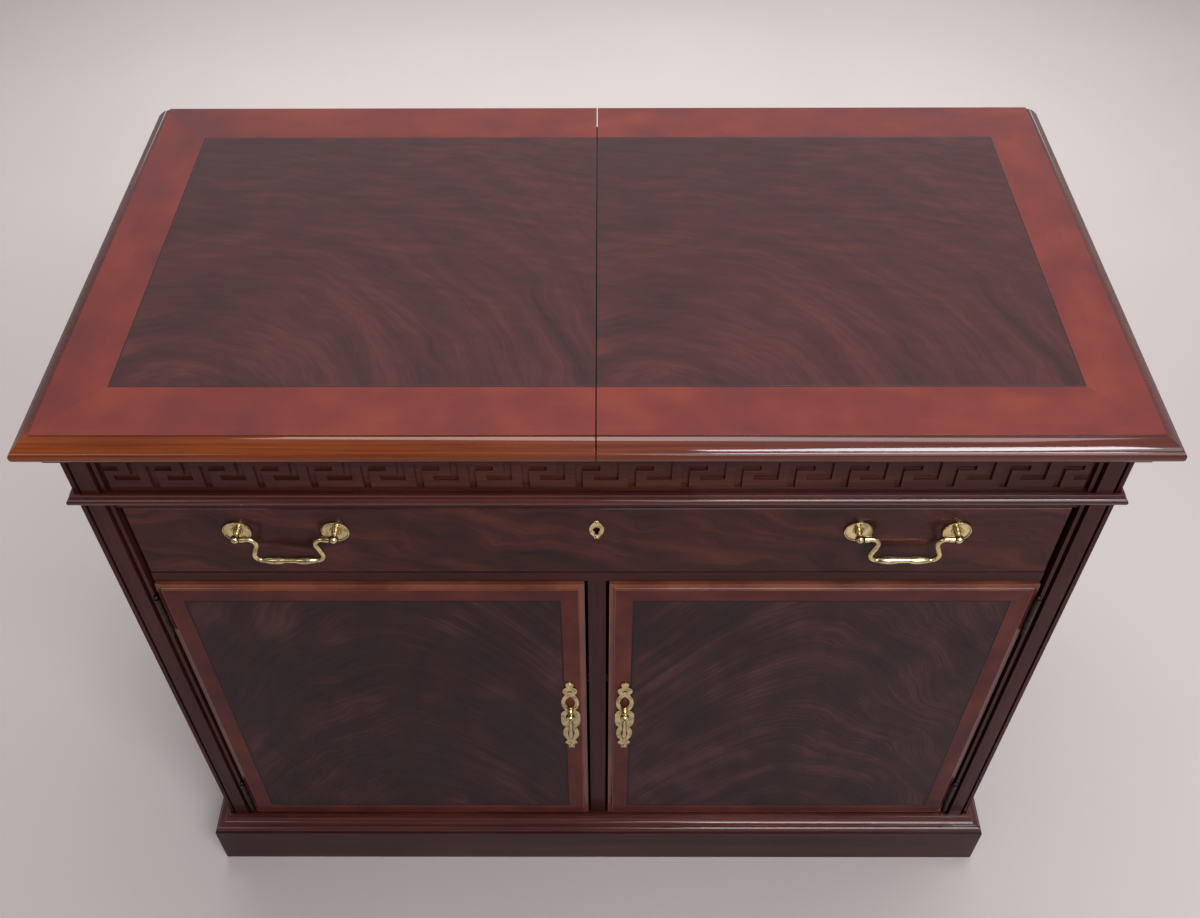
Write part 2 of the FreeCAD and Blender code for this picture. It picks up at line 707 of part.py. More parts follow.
def make_front_frame():
    """The stile between the doors, the rail under the drawer and the board behind the frieze."""
    half = s.centre_stile_width / 2
    keep("centre_stile", board("centre", (-half, half), (frame_front, frame_back), (ledge_top, rail_bottom)))
    tongue = frame_front + s.rail_tongue
    outline = [
        (-drawer_half, frame_front),
        (drawer_half, frame_front),
        (drawer_half, tongue),
        (jamb, tongue),
        (jamb, stile_back),
        (side_inner, stile_back),
        (side_inner, rail_back),
        (-side_inner, rail_back),
        (-side_inner, stile_back),
        (-jamb, stile_back),
        (-jamb, tongue),
        (-drawer_half, tongue),
    ]
    keep("drawer_rail", prism("rail", "XY", outline, rail_bottom, s.rail_height))
    ground = case_front + s.frieze_recess + s.key_backing
    steps = [
        (frieze_back, frieze_bottom),
        (frieze_back, board_bottom),
        (ground, board_bottom),
        (ground, waist_top),
        (case_front, waist_top),
        (case_front, waist_bottom),
        (frame_front, waist_bottom),
        (frame_front, frieze_bottom),
    ]
    blank = prism("frieze", "YZ", steps, -jamb, 2 * jamb)
    mortise = board(
        "bolt_mortise",
        (-s.bolt_width / 2 - s.bolt_gap, s.bolt_width / 2 + s.bolt_gap),
        (bolt_front() - s.bolt_gap, bolt_front() + s.bolt_thickness + s.bolt_gap),
        (frieze_bottom - s.overrun, drawer_top + s.bolt_travel + s.bolt_gap),
    )
    keep("frieze_board", cut("frieze_board", blank, mortise))


def key_rectangles(left):
    """The four channels of the unit of the fret that starts there, as (left, right, bottom, top)."""
    head = key_bottom + s.key_height
    upper, lower = head - s.key_open, key_bottom + s.key_open
    drop = left + s.key_drop_place
    return (
        (left, left + s.key_channel, key_bottom, upper),
        (left, left + s.key_arm, upper - s.key_channel, upper),
        (drop, drop + s.key_channel, lower, head),
        (drop + s.key_channel - s.key_arm, drop + s.key_channel, lower, lower + s.key_channel),
    )


def make_frieze_key():
    """The Greek key strip on the frieze: channels cut into a flat strip of the frieze's length."""
    floor = case_front + s.frieze_recess
    face = floor - s.key_depth
    width = (-drawer_half, drawer_half)
    strip = board("key_strip", width, (face, floor + s.key_backing), (waist_top, board_bottom))
    units = math.ceil(float(drawer_half) / float(s.key_pitch)) + 1
    channels = []
    for unit in range(-units, units + 1):
        for left, right, bottom, top in key_rectangles(unit * s.key_pitch - s.key_shift):
            if float(right) > -float(drawer_half) and float(left) < float(drawer_half):
                channels.append(
                    board("key_channel", (left, right), (face - s.overrun, floor), (bottom, top))
                )
    keep("frieze_key", cut("frieze_key", strip, joined("key_channels", channels)))


def make_drawer_way():
    """What carries and guides the drawer: the panel under it, runners with guides, and kickers."""
    inside = box_half - s.runner_width
    way = (rail_back, back_inner)
    middle = rail_bottom + (s.rail_height - s.panel_thickness) / 2
    panel = board("under_panel", (-inside, inside), way, (middle, middle + s.panel_thickness))
    keep("dust_panel", panel)
    runners, kickers = [], []
    for name, sign in SIDES:
        runner = board(f"runner_{name}", across(sign, inside, side_inner), way, (rail_bottom, rail_top))
        guide = board(
            f"guide_{name}",
            across(sign, box_half + s.drawer_guide_gap, side_inner),
            way,
            (rail_top, rail_top + s.guide_height),
        )
        runners.append(joined(f"runner_{name}", [runner, guide]))
        low = box_top + s.kicker_gap
        kicker = board(
            f"kicker_{name}",
            across(sign, inside, side_inner),
            (frieze_back, back_inner - s.frame_thickness),
            (low, low + s.kicker_height),
        )
        kickers.append(kicker)
    keep("drawer_runners", group("drawer_runners", runners))
    keep("drawer_kickers", group("drawer_kickers", kickers))


def shelf_pin_z():
    """Height of the shelf pins' axes."""
    return shelf_bottom - s.shelf_pin_radius


def shelf_pin_places():
    """Where the shelf pins are, from front to back."""
    front = frame_back + s.shelf_setback
    return front + s.shelf_pin_place, back_inner - s.shelf_pin_place


def make_cupboard_inside():
    """The shelf on its four pins, and the two catches that hold the doors."""
    reach = side_inner - s.shelf_gap
    front = frame_back + s.shelf_setback
    height = (shelf_bottom, shelf_bottom + s.shelf_thickness)
    keep("shelf", board("shelf_board", (-reach, reach), (front, back_inner - s.shelf_gap), height))
    pins = []
    for name, sign in SIDES:
        for y in shelf_pin_places():
            start = (sign * (side_inner + s.shelf_pin_depth), y, shelf_pin_z())
            length = s.shelf_pin_depth + s.shelf_pin_length
            pins.append(rod("shelf_pin", start, (-sign, 0, 0), s.shelf_pin_radius, length))
    keep("shelf_pins", group("shelf_pins", pins))
    back = door_front + s.door_thickness + s.rest_gap
    catches = []
    for name, sign in SIDES:
        width = across(sign, s.catch_place, s.catch_place + s.catch_length)
        height = (rail_bottom - s.catch_height, rail_bottom)
        catches.append(board(f"catch_{name}", width, (back, back + s.catch_depth), height))
    keep("door_catches", group("door_catches", catches))


def flip_hinge_spans():
    """Where each flip hinge starts and ends along Y."""
    spans = []
    for sign in (-1, 1):
        middle = (top_front + top_back) / 2 + sign * s.flip_hinge_place
        spans.append((middle - s.flip_hinge_length / 2, middle + s.flip_hinge_length / 2))
    return spans


def flip_knuckles(start, which):
    """The spans along Y of a flip hinge's knuckles: which is 0 for the board's, 1 for the leaf's."""
    pitch = (s.flip_hinge_length + s.knuckle_gap) / HINGE_KNUCKLES
    length = pitch - s.knuckle_gap
    return [(start + k * pitch, start + k * pitch + length) for k in range(which, HINGE_KNUCKLES, 2)]


def make_board_hinge_plate(sign, start):
    """One flip hinge's fixed part: a plate let into the board's end, with an arm and knuckles."""
    end = start + s.flip_hinge_length
    clear = flip_axis_x - s.flip_knuckle_radius - s.notch_gap
    arm = (board_top - s.flip_arm_thickness, board_top)
    upright = board(
        "flip_upright",
        across(sign, board_half - s.flip_plate_thickness, board_half),
        (start, end),
        (board_top - s.flip_plate_drop, board_top),
    )
    parts = [upright, board("flip_arm", across(sign, board_half, clear), (start, end), arm)]
    for low, high in flip_knuckles(start, 0):
        parts.append(board("flip_tab", across(sign, clear, flip_axis_x), (low, high), arm))
        middle = (sign * flip_axis_x, low, flip_axis_z)
        parts.append(rod("flip_knuckle", middle, (0, 1, 0), s.flip_knuckle_radius, high - low))
    return cut("board_plate", joined("board_plate", parts), flip_bore(sign, start))


def make_leaf_hinge_flap(sign, start):
    """One flip hinge's moving part: a plate let into the leaf's underside, with its knuckles."""
    end = start + s.flip_hinge_length
    clear = flip_axis_x - s.flip_knuckle_radius - s.notch_gap
    level = (leaf_bottom, leaf_bottom + s.flip_plate_thickness)
    parts = [board("flip_flap", across(sign, clear - s.flip_plate_width, clear), (start, end), level)]
    for low, high in flip_knuckles(start, 1):
        parts.append(board("flip_flap_tab", across(sign, clear, flip_axis_x), (low, high), level))
        middle = (sign * flip_axis_x, low, flip_axis_z)
        parts.append(rod("flip_flap_knuckle", middle, (0, 1, 0), s.flip_knuckle_radius, high - low))
    return cut("leaf_flap", joined("leaf_flap", parts), flip_bore(sign, start))


def flip_bore(sign, start):
    """The hole through a flip hinge's knuckles."""
    origin = (sign * flip_axis_x, start - s.overrun, flip_axis_z)
    length = s.flip_hinge_length + 2 * s.overrun
    return rod("flip_bore", origin, (0, 1, 0), s.flip_pin_radius + s.running_gap, length)


def make_flip_notches(sign, start):
    """The room that a leaf needs for one flip hinge: round the knuckles, its arm and its flap."""
    end = start + s.flip_hinge_length
    low, high = start - s.notch_gap, end + s.notch_gap
    room = s.flip_knuckle_radius + s.notch_gap
    edge = flip_axis_x - room
    under = leaf_bottom - s.overrun
    width = across(sign, edge, flip_axis_x + room)
    knuckles = board("knuckle_room", width, (low, high), (under, flip_axis_z + room))
    arm_top = 2 * flip_axis_z - board_top + s.flip_arm_thickness + s.notch_gap
    arm = board("arm_room", across(sign, flip_axis_x, top_half + s.overrun), (low, high), (under, arm_top))
    flap = board(
        "flap_room",
        across(sign, edge - s.flip_plate_width, edge),
        (start, end),
        (under, leaf_bottom + s.flip_plate_thickness),
    )
    return [knuckles, arm, flap]


def make_sub_top():
    """The board under the leaves, with its serving surface and the fixed half of the flip hinges."""
    width, height = (-board_half, board_half), (board_bottom, board_top)
    blank = board("under_board", width, (board_front, case_back), height)
    surface = board(
        "serving_sheet",
        (-board_half + s.serving_margin, board_half - s.serving_margin),
        (board_front + s.serving_margin, case_back - s.serving_margin),
        (board_top - s.veneer_thickness, board_top),
    )
    plates, rooms, pins = [], [], []
    for name, sign in SIDES:
        for start, end in flip_hinge_spans():
            plates.append(make_board_hinge_plate(sign, start))
            place_x = across(sign, board_half - s.flip_plate_thickness, board_half + s.overrun)
            height = (board_top - s.flip_plate_drop, board_top + s.overrun)
            rooms.append(board("plate_room", place_x, (start, end), height))
            origin = (sign * flip_axis_x, start, flip_axis_z)
            pins.append(rod("flip_pin", origin, (0, 1, 0), s.flip_pin_radius, s.flip_hinge_length))
    keep("sub_top", cut("sub_top", blank, surface, *rooms))
    keep("serving_top", surface)
    keep("flip_hinge_plates", group("flip_hinge_plates", plates))
    keep("flip_hinge_pins", group("flip_hinge_pins", pins))


def leaf_edge(place, outward):
    """The moulded edge of a leaf from its surface down, at a place whose outside is that way."""
    return [
        (place - outward * s.lip_width, top_surface),
        (place - outward * s.lip_width, top_surface - s.lip_step),
        (place - outward * s.nose_width, top_surface - s.nose_top, -outward * s.lip_bulge),
        (place, top_surface - s.lip_drop, -outward * s.nose_bulge),
        (place - outward * s.under_inset, leaf_bottom, -outward * s.under_bulge),
    ]


def make_leaf(name, sign):
    """One leaf of the top: a board with a moulded front and end, an inlaid field and a lining."""
    seam = s.seam_gap / 2
    depth_outline = [(top_back, leaf_bottom), (top_back, top_surface)] + leaf_edge(top_front, -1)
    width_outline = [(sign * seam, leaf_bottom), (sign * seam, top_surface)]
    width_outline += leaf_edge(sign * top_half, sign)
    start, end = across(sign, seam, top_half)
    lengthwise = prism(f"leaf_{name}_length", "YZ", depth_outline, start, end - start)
    crosswise = prism(f"leaf_{name}_cross", "XZ", width_outline, top_front, top_back - top_front)
    blank = shared(f"leaf_{name}", [lengthwise, crosswise])
    field = board(
        f"field_{name}",
        across(sign, seam, top_half - s.border_end),
        (top_front + s.border_front, top_back - s.border_back),
        (top_surface - s.veneer_thickness, top_surface),
    )
    lining = board(
        f"lining_{name}",
        across(sign, s.lining_margin, board_half - s.lining_margin - s.flip_plate_width),
        (top_front + 2 * s.lining_margin, top_back - s.lining_margin),
        (leaf_bottom, leaf_bottom + s.veneer_thickness),
    )
    rooms, flaps = [], []
    for start, end in flip_hinge_spans():
        rooms += make_flip_notches(sign, start)
        flaps.append(make_leaf_hinge_flap(sign, start))
    keep(f"leaf_board_{name}", cut(f"leaf_board_{name}", blank, field, lining, *rooms))
    keep(f"leaf_field_{name}", field)
    keep(f"leaf_lining_{name}", lining)
    keep(f"leaf_hinge_flaps_{name}", group(f"leaf_hinge_flaps_{name}", flaps))


def panel_section(low, high, front, back, edge, swapped=False):
    """A panel's section between two places: its moulded edge is (inset, setback[, bow]) rows."""
    points = [(low, back)]
    points += [(low + inset, front + setback, *bow) for inset, setback, *bow in edge]
    count = len(edge)
    for number in reversed(range(count)):
        inset, setback = edge[number][:2]
        bow = edge[number + 1][2:] if number + 1 < count else ()
        points.append((high - inset, front + setback, *bow))
    points.append((high, back))
    if swapped:
        return [(v, u, *[-b for b in bow]) for u, v, *bow in points]
    return points


def moulded_panel(name, x, z, front, back, edge):
    """A panel with the same moulded edge all round its front."""
    level = prism(f"{name}_level", "XY", panel_section(*x, front, back, edge), z[0], z[1] - z[0])
    upright = prism(f"{name}_upright", "YZ", panel_section(*z, front, back, edge, True), x[0], x[1] - x[0])
    return shared(name, [level, upright])


def post_outline(shank_end, ground, reach, radius, neck):
    """A turned post with a ball end, from the end of its shank, as (radius, distance forwards)."""
    collar = (reach - radius - ground) / 3
    return [
        (0, shank_end),
        (s.shank_radius, shank_end),
        (s.shank_radius, ground),
        (neck * POST_COLLAR_SHARE, ground),
        (neck * POST_COLLAR_SHARE, ground + collar),
        (neck, ground + 2 * collar),
        (neck, reach - radius * BALL_NECK_SHARE),
        (radius, reach, radius * BALL_BACK_BOW_SHARE),
        (0, reach + radius, radius * QUARTER_BOW_SHARE),
    ]


def hinge_starts():
    """The lower ends of a door's two hinges."""
    return door_bottom + s.hinge_place, door_top - s.hinge_place - s.hinge_height


def hinge_half(name, sign, start, which):
    """Half of a door hinge: 0 is the stile's half and 1 the door's, with every other knuckle."""
    pitch = (s.hinge_height + s.knuckle_gap) / HINGE_KNUCKLES
    if which == 0:
        plate_place = (jamb - s.hinge_plate_thickness, jamb)
    else:
        plate_place = (door_outer, door_outer + s.hinge_plate_thickness)
    front = hinge_axis_y + s.hinge_knuckle_radius + s.knuckle_gap
    height = (start, start + s.hinge_height)
    width = across(sign, *plate_place)
    parts = [board(f"{name}_plate", width, (front, front + s.hinge_plate_width), height)]
    for number in range(which, HINGE_KNUCKLES, 2):
        low = start + number * pitch
        high = low + pitch - s.knuckle_gap
        parts.append(board(f"{name}_tab", width, (hinge_axis_y, front), (low, high)))
        origin = (sign * hinge_axis_x, hinge_axis_y, low)
        parts.append(rod(f"{name}_knuckle", origin, (0, 0, 1), s.hinge_knuckle_radius, high - low))
    origin = (sign * hinge_axis_x, hinge_axis_y, start - s.overrun)
    length = s.hinge_height + 2 * s.overrun
    bore = rod(f"{name}_bore", origin, (0, 0, 1), s.hinge_pin_radius + s.running_gap, length)
    return cut(name, joined(name, parts), bore)


def hinge_pin(sign, start):
    """A hinge pin with a ball on each end."""
    origin = (sign * hinge_axis_x, hinge_axis_y, start)
    shaft = rod("hinge_shaft", origin, (0, 0, 1), s.hinge_pin_radius, s.hinge_height)
    rise = s.hinge_ball_radius + s.running_gap
    tips = [
        ball("hinge_tip", (sign * hinge_axis_x, hinge_axis_y, z), s.hinge_ball_radius)
        for z in (start - rise, start + s.hinge_height + rise)
    ]
    necks = [
        rod("hinge_neck", (sign * hinge_axis_x, hinge_axis_y, z), (0, 0, 1), s.hinge_pin_radius, rise)
        for z in (start - rise, start + s.hinge_height)
    ]
    return joined("hinge_pin", [shaft] + tips + necks)


def make_case_hinges():
    """The stiles' halves of the four door hinges, and their pins."""
    halves, pins = [], []
    for name, sign in SIDES:
        for start in hinge_starts():
            halves.append(hinge_half(f"jamb_hinge_{name}", sign, start, 0))
            pins.append(hinge_pin(sign, start))
    keep("jamb_hinge_leaves", group("jamb_hinge_leaves", halves))
    keep("door_hinge_pins", group("door_hinge_pins", pins))


def mirrored_outline(shares, middle, half, bottom, height):
    """A plate's whole outline, counter-clockwise, from its right half's shares of its size."""
    right = [
        (middle + out * half, bottom + up * height, *[bow * half for bow in bows])
        for out, up, *bows in shares
    ]
    left = []
    for (out, up, *_), (_, _, *bows) in zip(shares[-2::-1], shares[:0:-1]):
        left.append((middle - out * half, bottom + up * height, *[bow * half for bow in bows]))
    return right + left


def eye_outline(middle, shares):
    """A pierced eye in a pull's plate: two arcs that meet at the top and the bottom."""
    up, half_height, half_width = shares
    centre = plate_top - s.plate_height + up * s.plate_height
    rise = half_height * s.plate_height
    bow = half_width * s.plate_width / 2
    return [(middle, centre - rise, bow), (middle, centre + rise, bow)]


def crescent_outline(middle):
    """The pierced crescent over a pull's eyes: two arcs that meet at its horns."""
    up, half_width, upper, lower = PLATE_CRESCENT_SHARES
    z = plate_top - s.plate_height + up * s.plate_height
    half = s.plate_width / 2
    out = half_width * half
    return [(middle - out, z, upper * half), (middle + out, z, -lower * half)]


def make_door_pull(name, sign):
    """A door's pull: a pierced plate, a ball post through the door and the pendant that hangs on it."""
    middle = sign * plate_x
    back = door_front - s.plate_thickness
    foot = plate_top - s.plate_height
    outline = mirrored_outline(PLATE_OUTLINE_SHARES, middle, s.plate_width / 2, foot, s.plate_height)
    blank = prism(f"plate_{name}", "XZ", outline, back, s.plate_thickness)
    through = s.plate_thickness + 2 * s.overrun
    outlines = [eye_outline(middle, shares) for shares in PLATE_EYES_SHARES]
    outlines.append(crescent_outline(middle))
    eyes = [
        prism(f"eye_{name}", "XZ", outline, back - s.overrun, through) for outline in outlines
    ]
    room = s.shank_radius + s.shank_room
    hole = rod("plate_hole", (middle, back - s.overrun, stud_z), (0, 1, 0), room, through)
    keep(f"door_pull_plate_{name}", cut(f"pull_plate_{name}", blank, *eyes, hole))
    shank = -(s.plate_thickness + s.door_thickness)
    outline = post_outline(shank, 0, s.stud_reach, s.stud_ball_radius, s.stud_neck_radius)
    post = turned(f"stud_{name}", outline, (middle, back, stud_z), (0, -1, 0))
    pivot_y = back - s.stud_reach
    width = s.tongue_thickness / 2 + s.slot_gap
    reach = s.stud_ball_radius + s.overrun
    depth = s.tongue_radius + s.slot_gap
    slot = board(
        f"slot_{name}",
        (middle - width, middle + width),
        (pivot_y - reach, pivot_y + depth),
        (stud_z - reach, stud_z + depth),
    )
    pin_reach = s.stud_ball_radius * DROP_PIN_SHARE
    start = (middle - pin_reach, pivot_y, stud_z)
    pin = rod(f"drop_pin_{name}", start, (1, 0, 0), s.drop_pin_radius, 2 * pin_reach)
    slotted = cut(f"stud_slotted_{name}", post, slot)
    keep(f"door_pull_post_{name}", joined(f"door_pull_post_{name}", [slotted, pin]))
    make_drop(name, middle, pivot_y)


def make_drop(name, middle, pivot_y):
    """The pendant: a flat tongue round the pin, a neck and a long tear with a knob at its end."""
    neck_top = s.stud_ball_radius + s.slot_gap
    outline = [
        (0, neck_top),
        (s.drop_neck_radius, neck_top),
        (s.drop_neck_radius, neck_top + s.drop_radius),
        (s.drop_radius, s.drop_length * DROP_WIDEST_SHARE, s.drop_neck_radius / 4),
        (s.drop_neck_radius, s.drop_length * DROP_SLIM_SHARE, s.drop_neck_radius / 2),
        (s.drop_tip_radius, s.drop_length - s.drop_tip_radius, s.drop_tip_radius / 4),
        (0, s.drop_length, s.drop_tip_radius * QUARTER_BOW_SHARE),
    ]
    body = turned(f"tear_{name}", outline, (middle, pivot_y, stud_z), (0, 0, -1))
    half = s.tongue_thickness / 2
    depth = s.drop_neck_radius * TONGUE_DEPTH_SHARE
    start = (middle - half, pivot_y, stud_z)
    eye = rod(f"tongue_eye_{name}", start, (1, 0, 0), s.tongue_radius, s.tongue_thickness)
    tongue = board(
        f"tongue_{name}",
        (middle - half, middle + half),
        (pivot_y - depth, pivot_y + depth),
        (stud_z - neck_top - s.drop_radius / 2, stud_z),
    )
    hole = rod(
        f"tongue_hole_{name}",
        (middle - s.tongue_thickness, pivot_y, stud_z),
        (1, 0, 0),
        s.drop_pin_radius + s.running_gap,
        2 * s.tongue_thickness,
    )
    keep(f"door_drop_{name}", cut(f"drop_{name}", joined(f"drop_{name}", [body, eye, tongue]), hole))


def make_door(name, sign):
    """A door: a board with a moulded edge and an inlaid field, its hinge halves and its pull."""
    edge = [
        (0, s.door_edge_rise),
        (s.door_edge_width - s.door_edge_step, s.door_edge_step, -s.door_edge_bulge),
        (s.door_edge_width - s.door_edge_step, 0),
    ]
    x = across(sign, door_inner, door_outer)
    back = door_front + s.door_thickness
    blank = moulded_panel(f"door_{name}", x, (door_bottom, door_top), door_front, back, edge)
    border = s.door_edge_width + s.door_border
    field = board(
        f"door_field_{name}_sheet",
        (x[0] + border, x[1] - border),
        (door_front, door_front + s.veneer_thickness),
        (door_bottom + border, door_top - border),
    )
    room = s.shank_radius + s.shank_room
    hole = rod(
        f"door_hole_{name}",
        (sign * plate_x, door_front - s.overrun, stud_z),
        (0, 1, 0),
        room,
        s.door_thickness + 2 * s.overrun,
    )
    keep(f"door_board_{name}", cut(f"door_board_{name}", blank, field, hole))
    keep(f"door_field_{name}", field)
    halves = [hinge_half(f"door_hinge_{name}", sign, start, 1) for start in hinge_starts()]
    keep(f"door_hinge_leaves_{name}", group(f"door_hinge_leaves_{name}", halves))
    make_door_pull(name, sign)


def post_places():
    """The four places along X of the drawer pulls' posts, left to right."""
    half = s.pull_centres / 2
    return [sign * pull_x + end * half for sign in (-1, 1) for end in (-1, 1)]


def bolt_front():
    """Front of the lock bolt along Y."""
    return drawer_front_back - s.lock_depth + s.lock_wall + s.bolt_gap


def keyhole_tool(name, back, length):
    """The shape of a keyhole, to be cut along Y."""
    half = s.keyhole_width / 2
    round_part = rod(f"{name}_round", (0, back, keyhole_z), (0, 1, 0), s.keyhole_radius, length)
    slot = board(
        f"{name}_slot",
        (-half, half),
        (back, back + length),
        (keyhole_z - s.keyhole_drop, keyhole_z),
    )
    return joined(name, [round_part, slot])


def make_drawer_box():
    """The drawer's front, sides, back and bottom."""
    edge = [(0, s.drawer_bevel), (s.drawer_bevel, 0)]
    width, height = (-drawer_half, drawer_half), (drawer_bottom, drawer_top)
    blank = moulded_panel("drawer_front_blank", width, height, frame_front, drawer_front_back, edge)
    room = s.shank_radius + s.shank_room
    through = s.drawer_front_thickness + 2 * s.overrun
    starts = [(x, frame_front - s.overrun, pull_z) for x in post_places()]
    holes = [rod("post_hole", start, (0, 1, 0), room, through) for start in starts]
    mortise = board(
        "lock_mortise",
        (-s.lock_width / 2, s.lock_width / 2),
        (drawer_front_back - s.lock_depth, drawer_front_back + s.overrun),
        (drawer_top - s.lock_height, drawer_top + s.overrun),
    )
    keyhole = keyhole_tool("front_keyhole", frame_front - s.overrun, through)
    inner = box_half - s.drawer_side_thickness
    groove = s.drawer_bottom_thickness
    low = box_bottom + s.drawer_bottom_rise
    bottom = board(
        "drawer_floor",
        (-inner - groove, inner + groove),
        (drawer_front_back - groove, drawer_back_end - s.drawer_side_thickness),
        (low, low + s.drawer_bottom_thickness),
    )
    keep("drawer_front", cut("drawer_front", blank, *holes, mortise, keyhole, bottom))
    keep("drawer_bottom", bottom)
    sides = []
    for name, sign in SIDES:
        width, depth = across(sign, inner, box_half), (drawer_front_back, drawer_back_end)
        side = board(f"drawer_side_{name}", width, depth, (box_bottom, box_top))
        sides.append(cut(f"drawer_side_{name}", side, bottom))
    keep("drawer_sides", group("drawer_sides", sides))
    back_y = (drawer_back_end - s.drawer_side_thickness, drawer_back_end)
    keep("drawer_back", board("drawer_rear", (-inner, inner), back_y, (box_bottom, box_top)))


def make_lock():
    """The drawer's lock: a case let into the front, a bolt that rises and the keyhole's plate."""
    half = s.lock_width / 2
    front = drawer_front_back - s.lock_depth
    height = (drawer_top - s.lock_height, drawer_top - s.drawer_bevel)
    case = board("lock_block", (-half, half), (front, drawer_front_back), height)
    wide = s.bolt_width / 2 + s.bolt_gap
    chamber = board(
        "bolt_chamber",
        (-wide, wide),
        (bolt_front() - s.bolt_gap, bolt_front() + s.bolt_thickness + s.bolt_gap),
        (bolt_bottom() - s.rest_gap, drawer_top + s.overrun),
    )
    keyhole = keyhole_tool("lock_keyhole", front - s.overrun, s.lock_depth + 2 * s.overrun)
    keep("drawer_lock", cut("drawer_lock", case, chamber, keyhole))
    bolt = board(
        "bolt_block",
        (-s.bolt_width / 2, s.bolt_width / 2),
        (bolt_front(), bolt_front() + s.bolt_thickness),
        (bolt_bottom(), bolt_bottom() + s.bolt_height),
    )
    keep("lock_bolt", bolt)
    foot = keyhole_z - s.escutcheon_height / 2
    outline = mirrored_outline(ESCUTCHEON_SHARES, 0, s.escutcheon_width / 2, foot, s.escutcheon_height)
    back = frame_front - s.escutcheon_thickness
    plate = prism("escutcheon_plate", "XZ", outline, back, s.escutcheon_thickness)
    hole = keyhole_tool("plate_keyhole", back - s.overrun, s.escutcheon_thickness + 2 * s.overrun)
    keep("drawer_escutcheon", cut("drawer_escutcheon", plate, hole))


def bolt_bottom():
    """Lower end of the lock bolt at rest, with its top just under the case's."""
    return drawer_top - s.drawer_bevel - s.rest_gap - s.bolt_height


def make_bail(name, left):
    """A swan-neck bail from one post to the next: pins, thick ends, a bent rod, a swelled bottom."""
    right = left + s.pull_centres
    middle = (left + right) / 2
    inset = s.post_ball_radius
    z = pull_z
    body = document.addObject("PartDesign::Body", f"bail_rod_{name}")
    points = bail_path(left + inset, right - inset, z)
    path = outline_sketch(body, f"bail_path_{name}", "XZ_Plane", points, -ball_y, False)
    ring = body.newObject("Sketcher::SketchObject", f"bail_section_{name}")
    ring.AttachmentSupport = [(body_plane(body, "YZ_Plane"), "")]
    ring.MapMode = "FlatFace"
    bind(ring, AttachmentOffset__Base__z=left + inset)
    centre = FreeCAD.Vector(float(ball_y), float(z), 0)
    circle = ring.addGeometry(Part.Circle(centre, FreeCAD.Vector(0, 0, 1), float(s.bail_radius)))
    tie_point(ring, circle, 3, (ball_y, z))
    number = ring.addConstraint(Sketcher.Constraint("Radius", circle, float(s.bail_radius)))
    ring.setExpression(f"Constraints[{number}]", s.bail_radius.text)
    pipe = body.newObject("PartDesign::AdditivePipe", f"bail_pipe_{name}")
    pipe.Profile = ring
    pipe.Spine = (path, [])
    depth = s.bail_pin_depth
    pins = [
        rod("bail_pin", (x, ball_y, z), (inward, 0, 0), s.bail_pin_radius, depth + s.bail_radius)
        for x, inward in ((left + inset - depth, 1), (right - inset + depth, -1))
    ]
    ends = [
        rod("bail_end", (x, ball_y, z), (inward, 0, 0), s.bail_end_radius, s.bail_end_length)
        for x, inward in ((left + inset, 1), (right - inset, -1))
    ]
    low = z - s.bail_drop
    start = (middle - s.collar_length / 2, ball_y, low)
    collar = rod(f"collar_{name}", start, (1, 0, 0), s.collar_radius, s.collar_length)
    swells = []
    for sign in (-1, 1):
        near = s.collar_length / 2
        far = near + s.swell_length
        end = s.swell_radius * SWELL_END_SHARE
        outline = [
            (0, near),
            (end, near),
            (s.bail_radius, far, s.swell_radius - (end + s.bail_radius) / 2),
            (0, far),
        ]
        swells.append(turned(f"swell_{name}", outline, (middle, ball_y, low), (sign, 0, 0)))
    keep(f"bail_{name}", joined(f"bail_{name}", [body, collar] + pins + ends + swells))


def bail_path(start, end, z):
    """The bail's centreline in front view: in at the shoulder, back at the tuck, along the bottom."""
    drop, shoulder, tuck, bend = s.bail_drop, s.bail_shoulder, s.bail_tuck, s.bail_bend
    length = math.hypot(float(drop), float(shoulder - tuck))
    lean_share = float(shoulder - tuck) / length
    fall_share = float(drop) / length
    half_turn = (math.pi - math.acos(lean_share)) / 2
    back_off = bend * math.tan(half_turn)
    bow = bend * (1 - math.cos(half_turn))
    upper = (back_off * lean_share, back_off * fall_share)
    left = [
        (start, z),
        (start + shoulder - back_off, z),
        (start + shoulder - upper[0], z - upper[1], -bow),
        (start + tuck + upper[0], z - drop + upper[1]),
        (start + tuck + back_off, z - drop, bow),
    ]
    right = [
        (end - tuck - back_off, z - drop),
        (end - tuck - upper[0], z - drop + upper[1], bow),
        (end - shoulder + upper[0], z - upper[1]),
        (end - shoulder + back_off, z, -bow),
        (end, z),
    ]
    return left + right


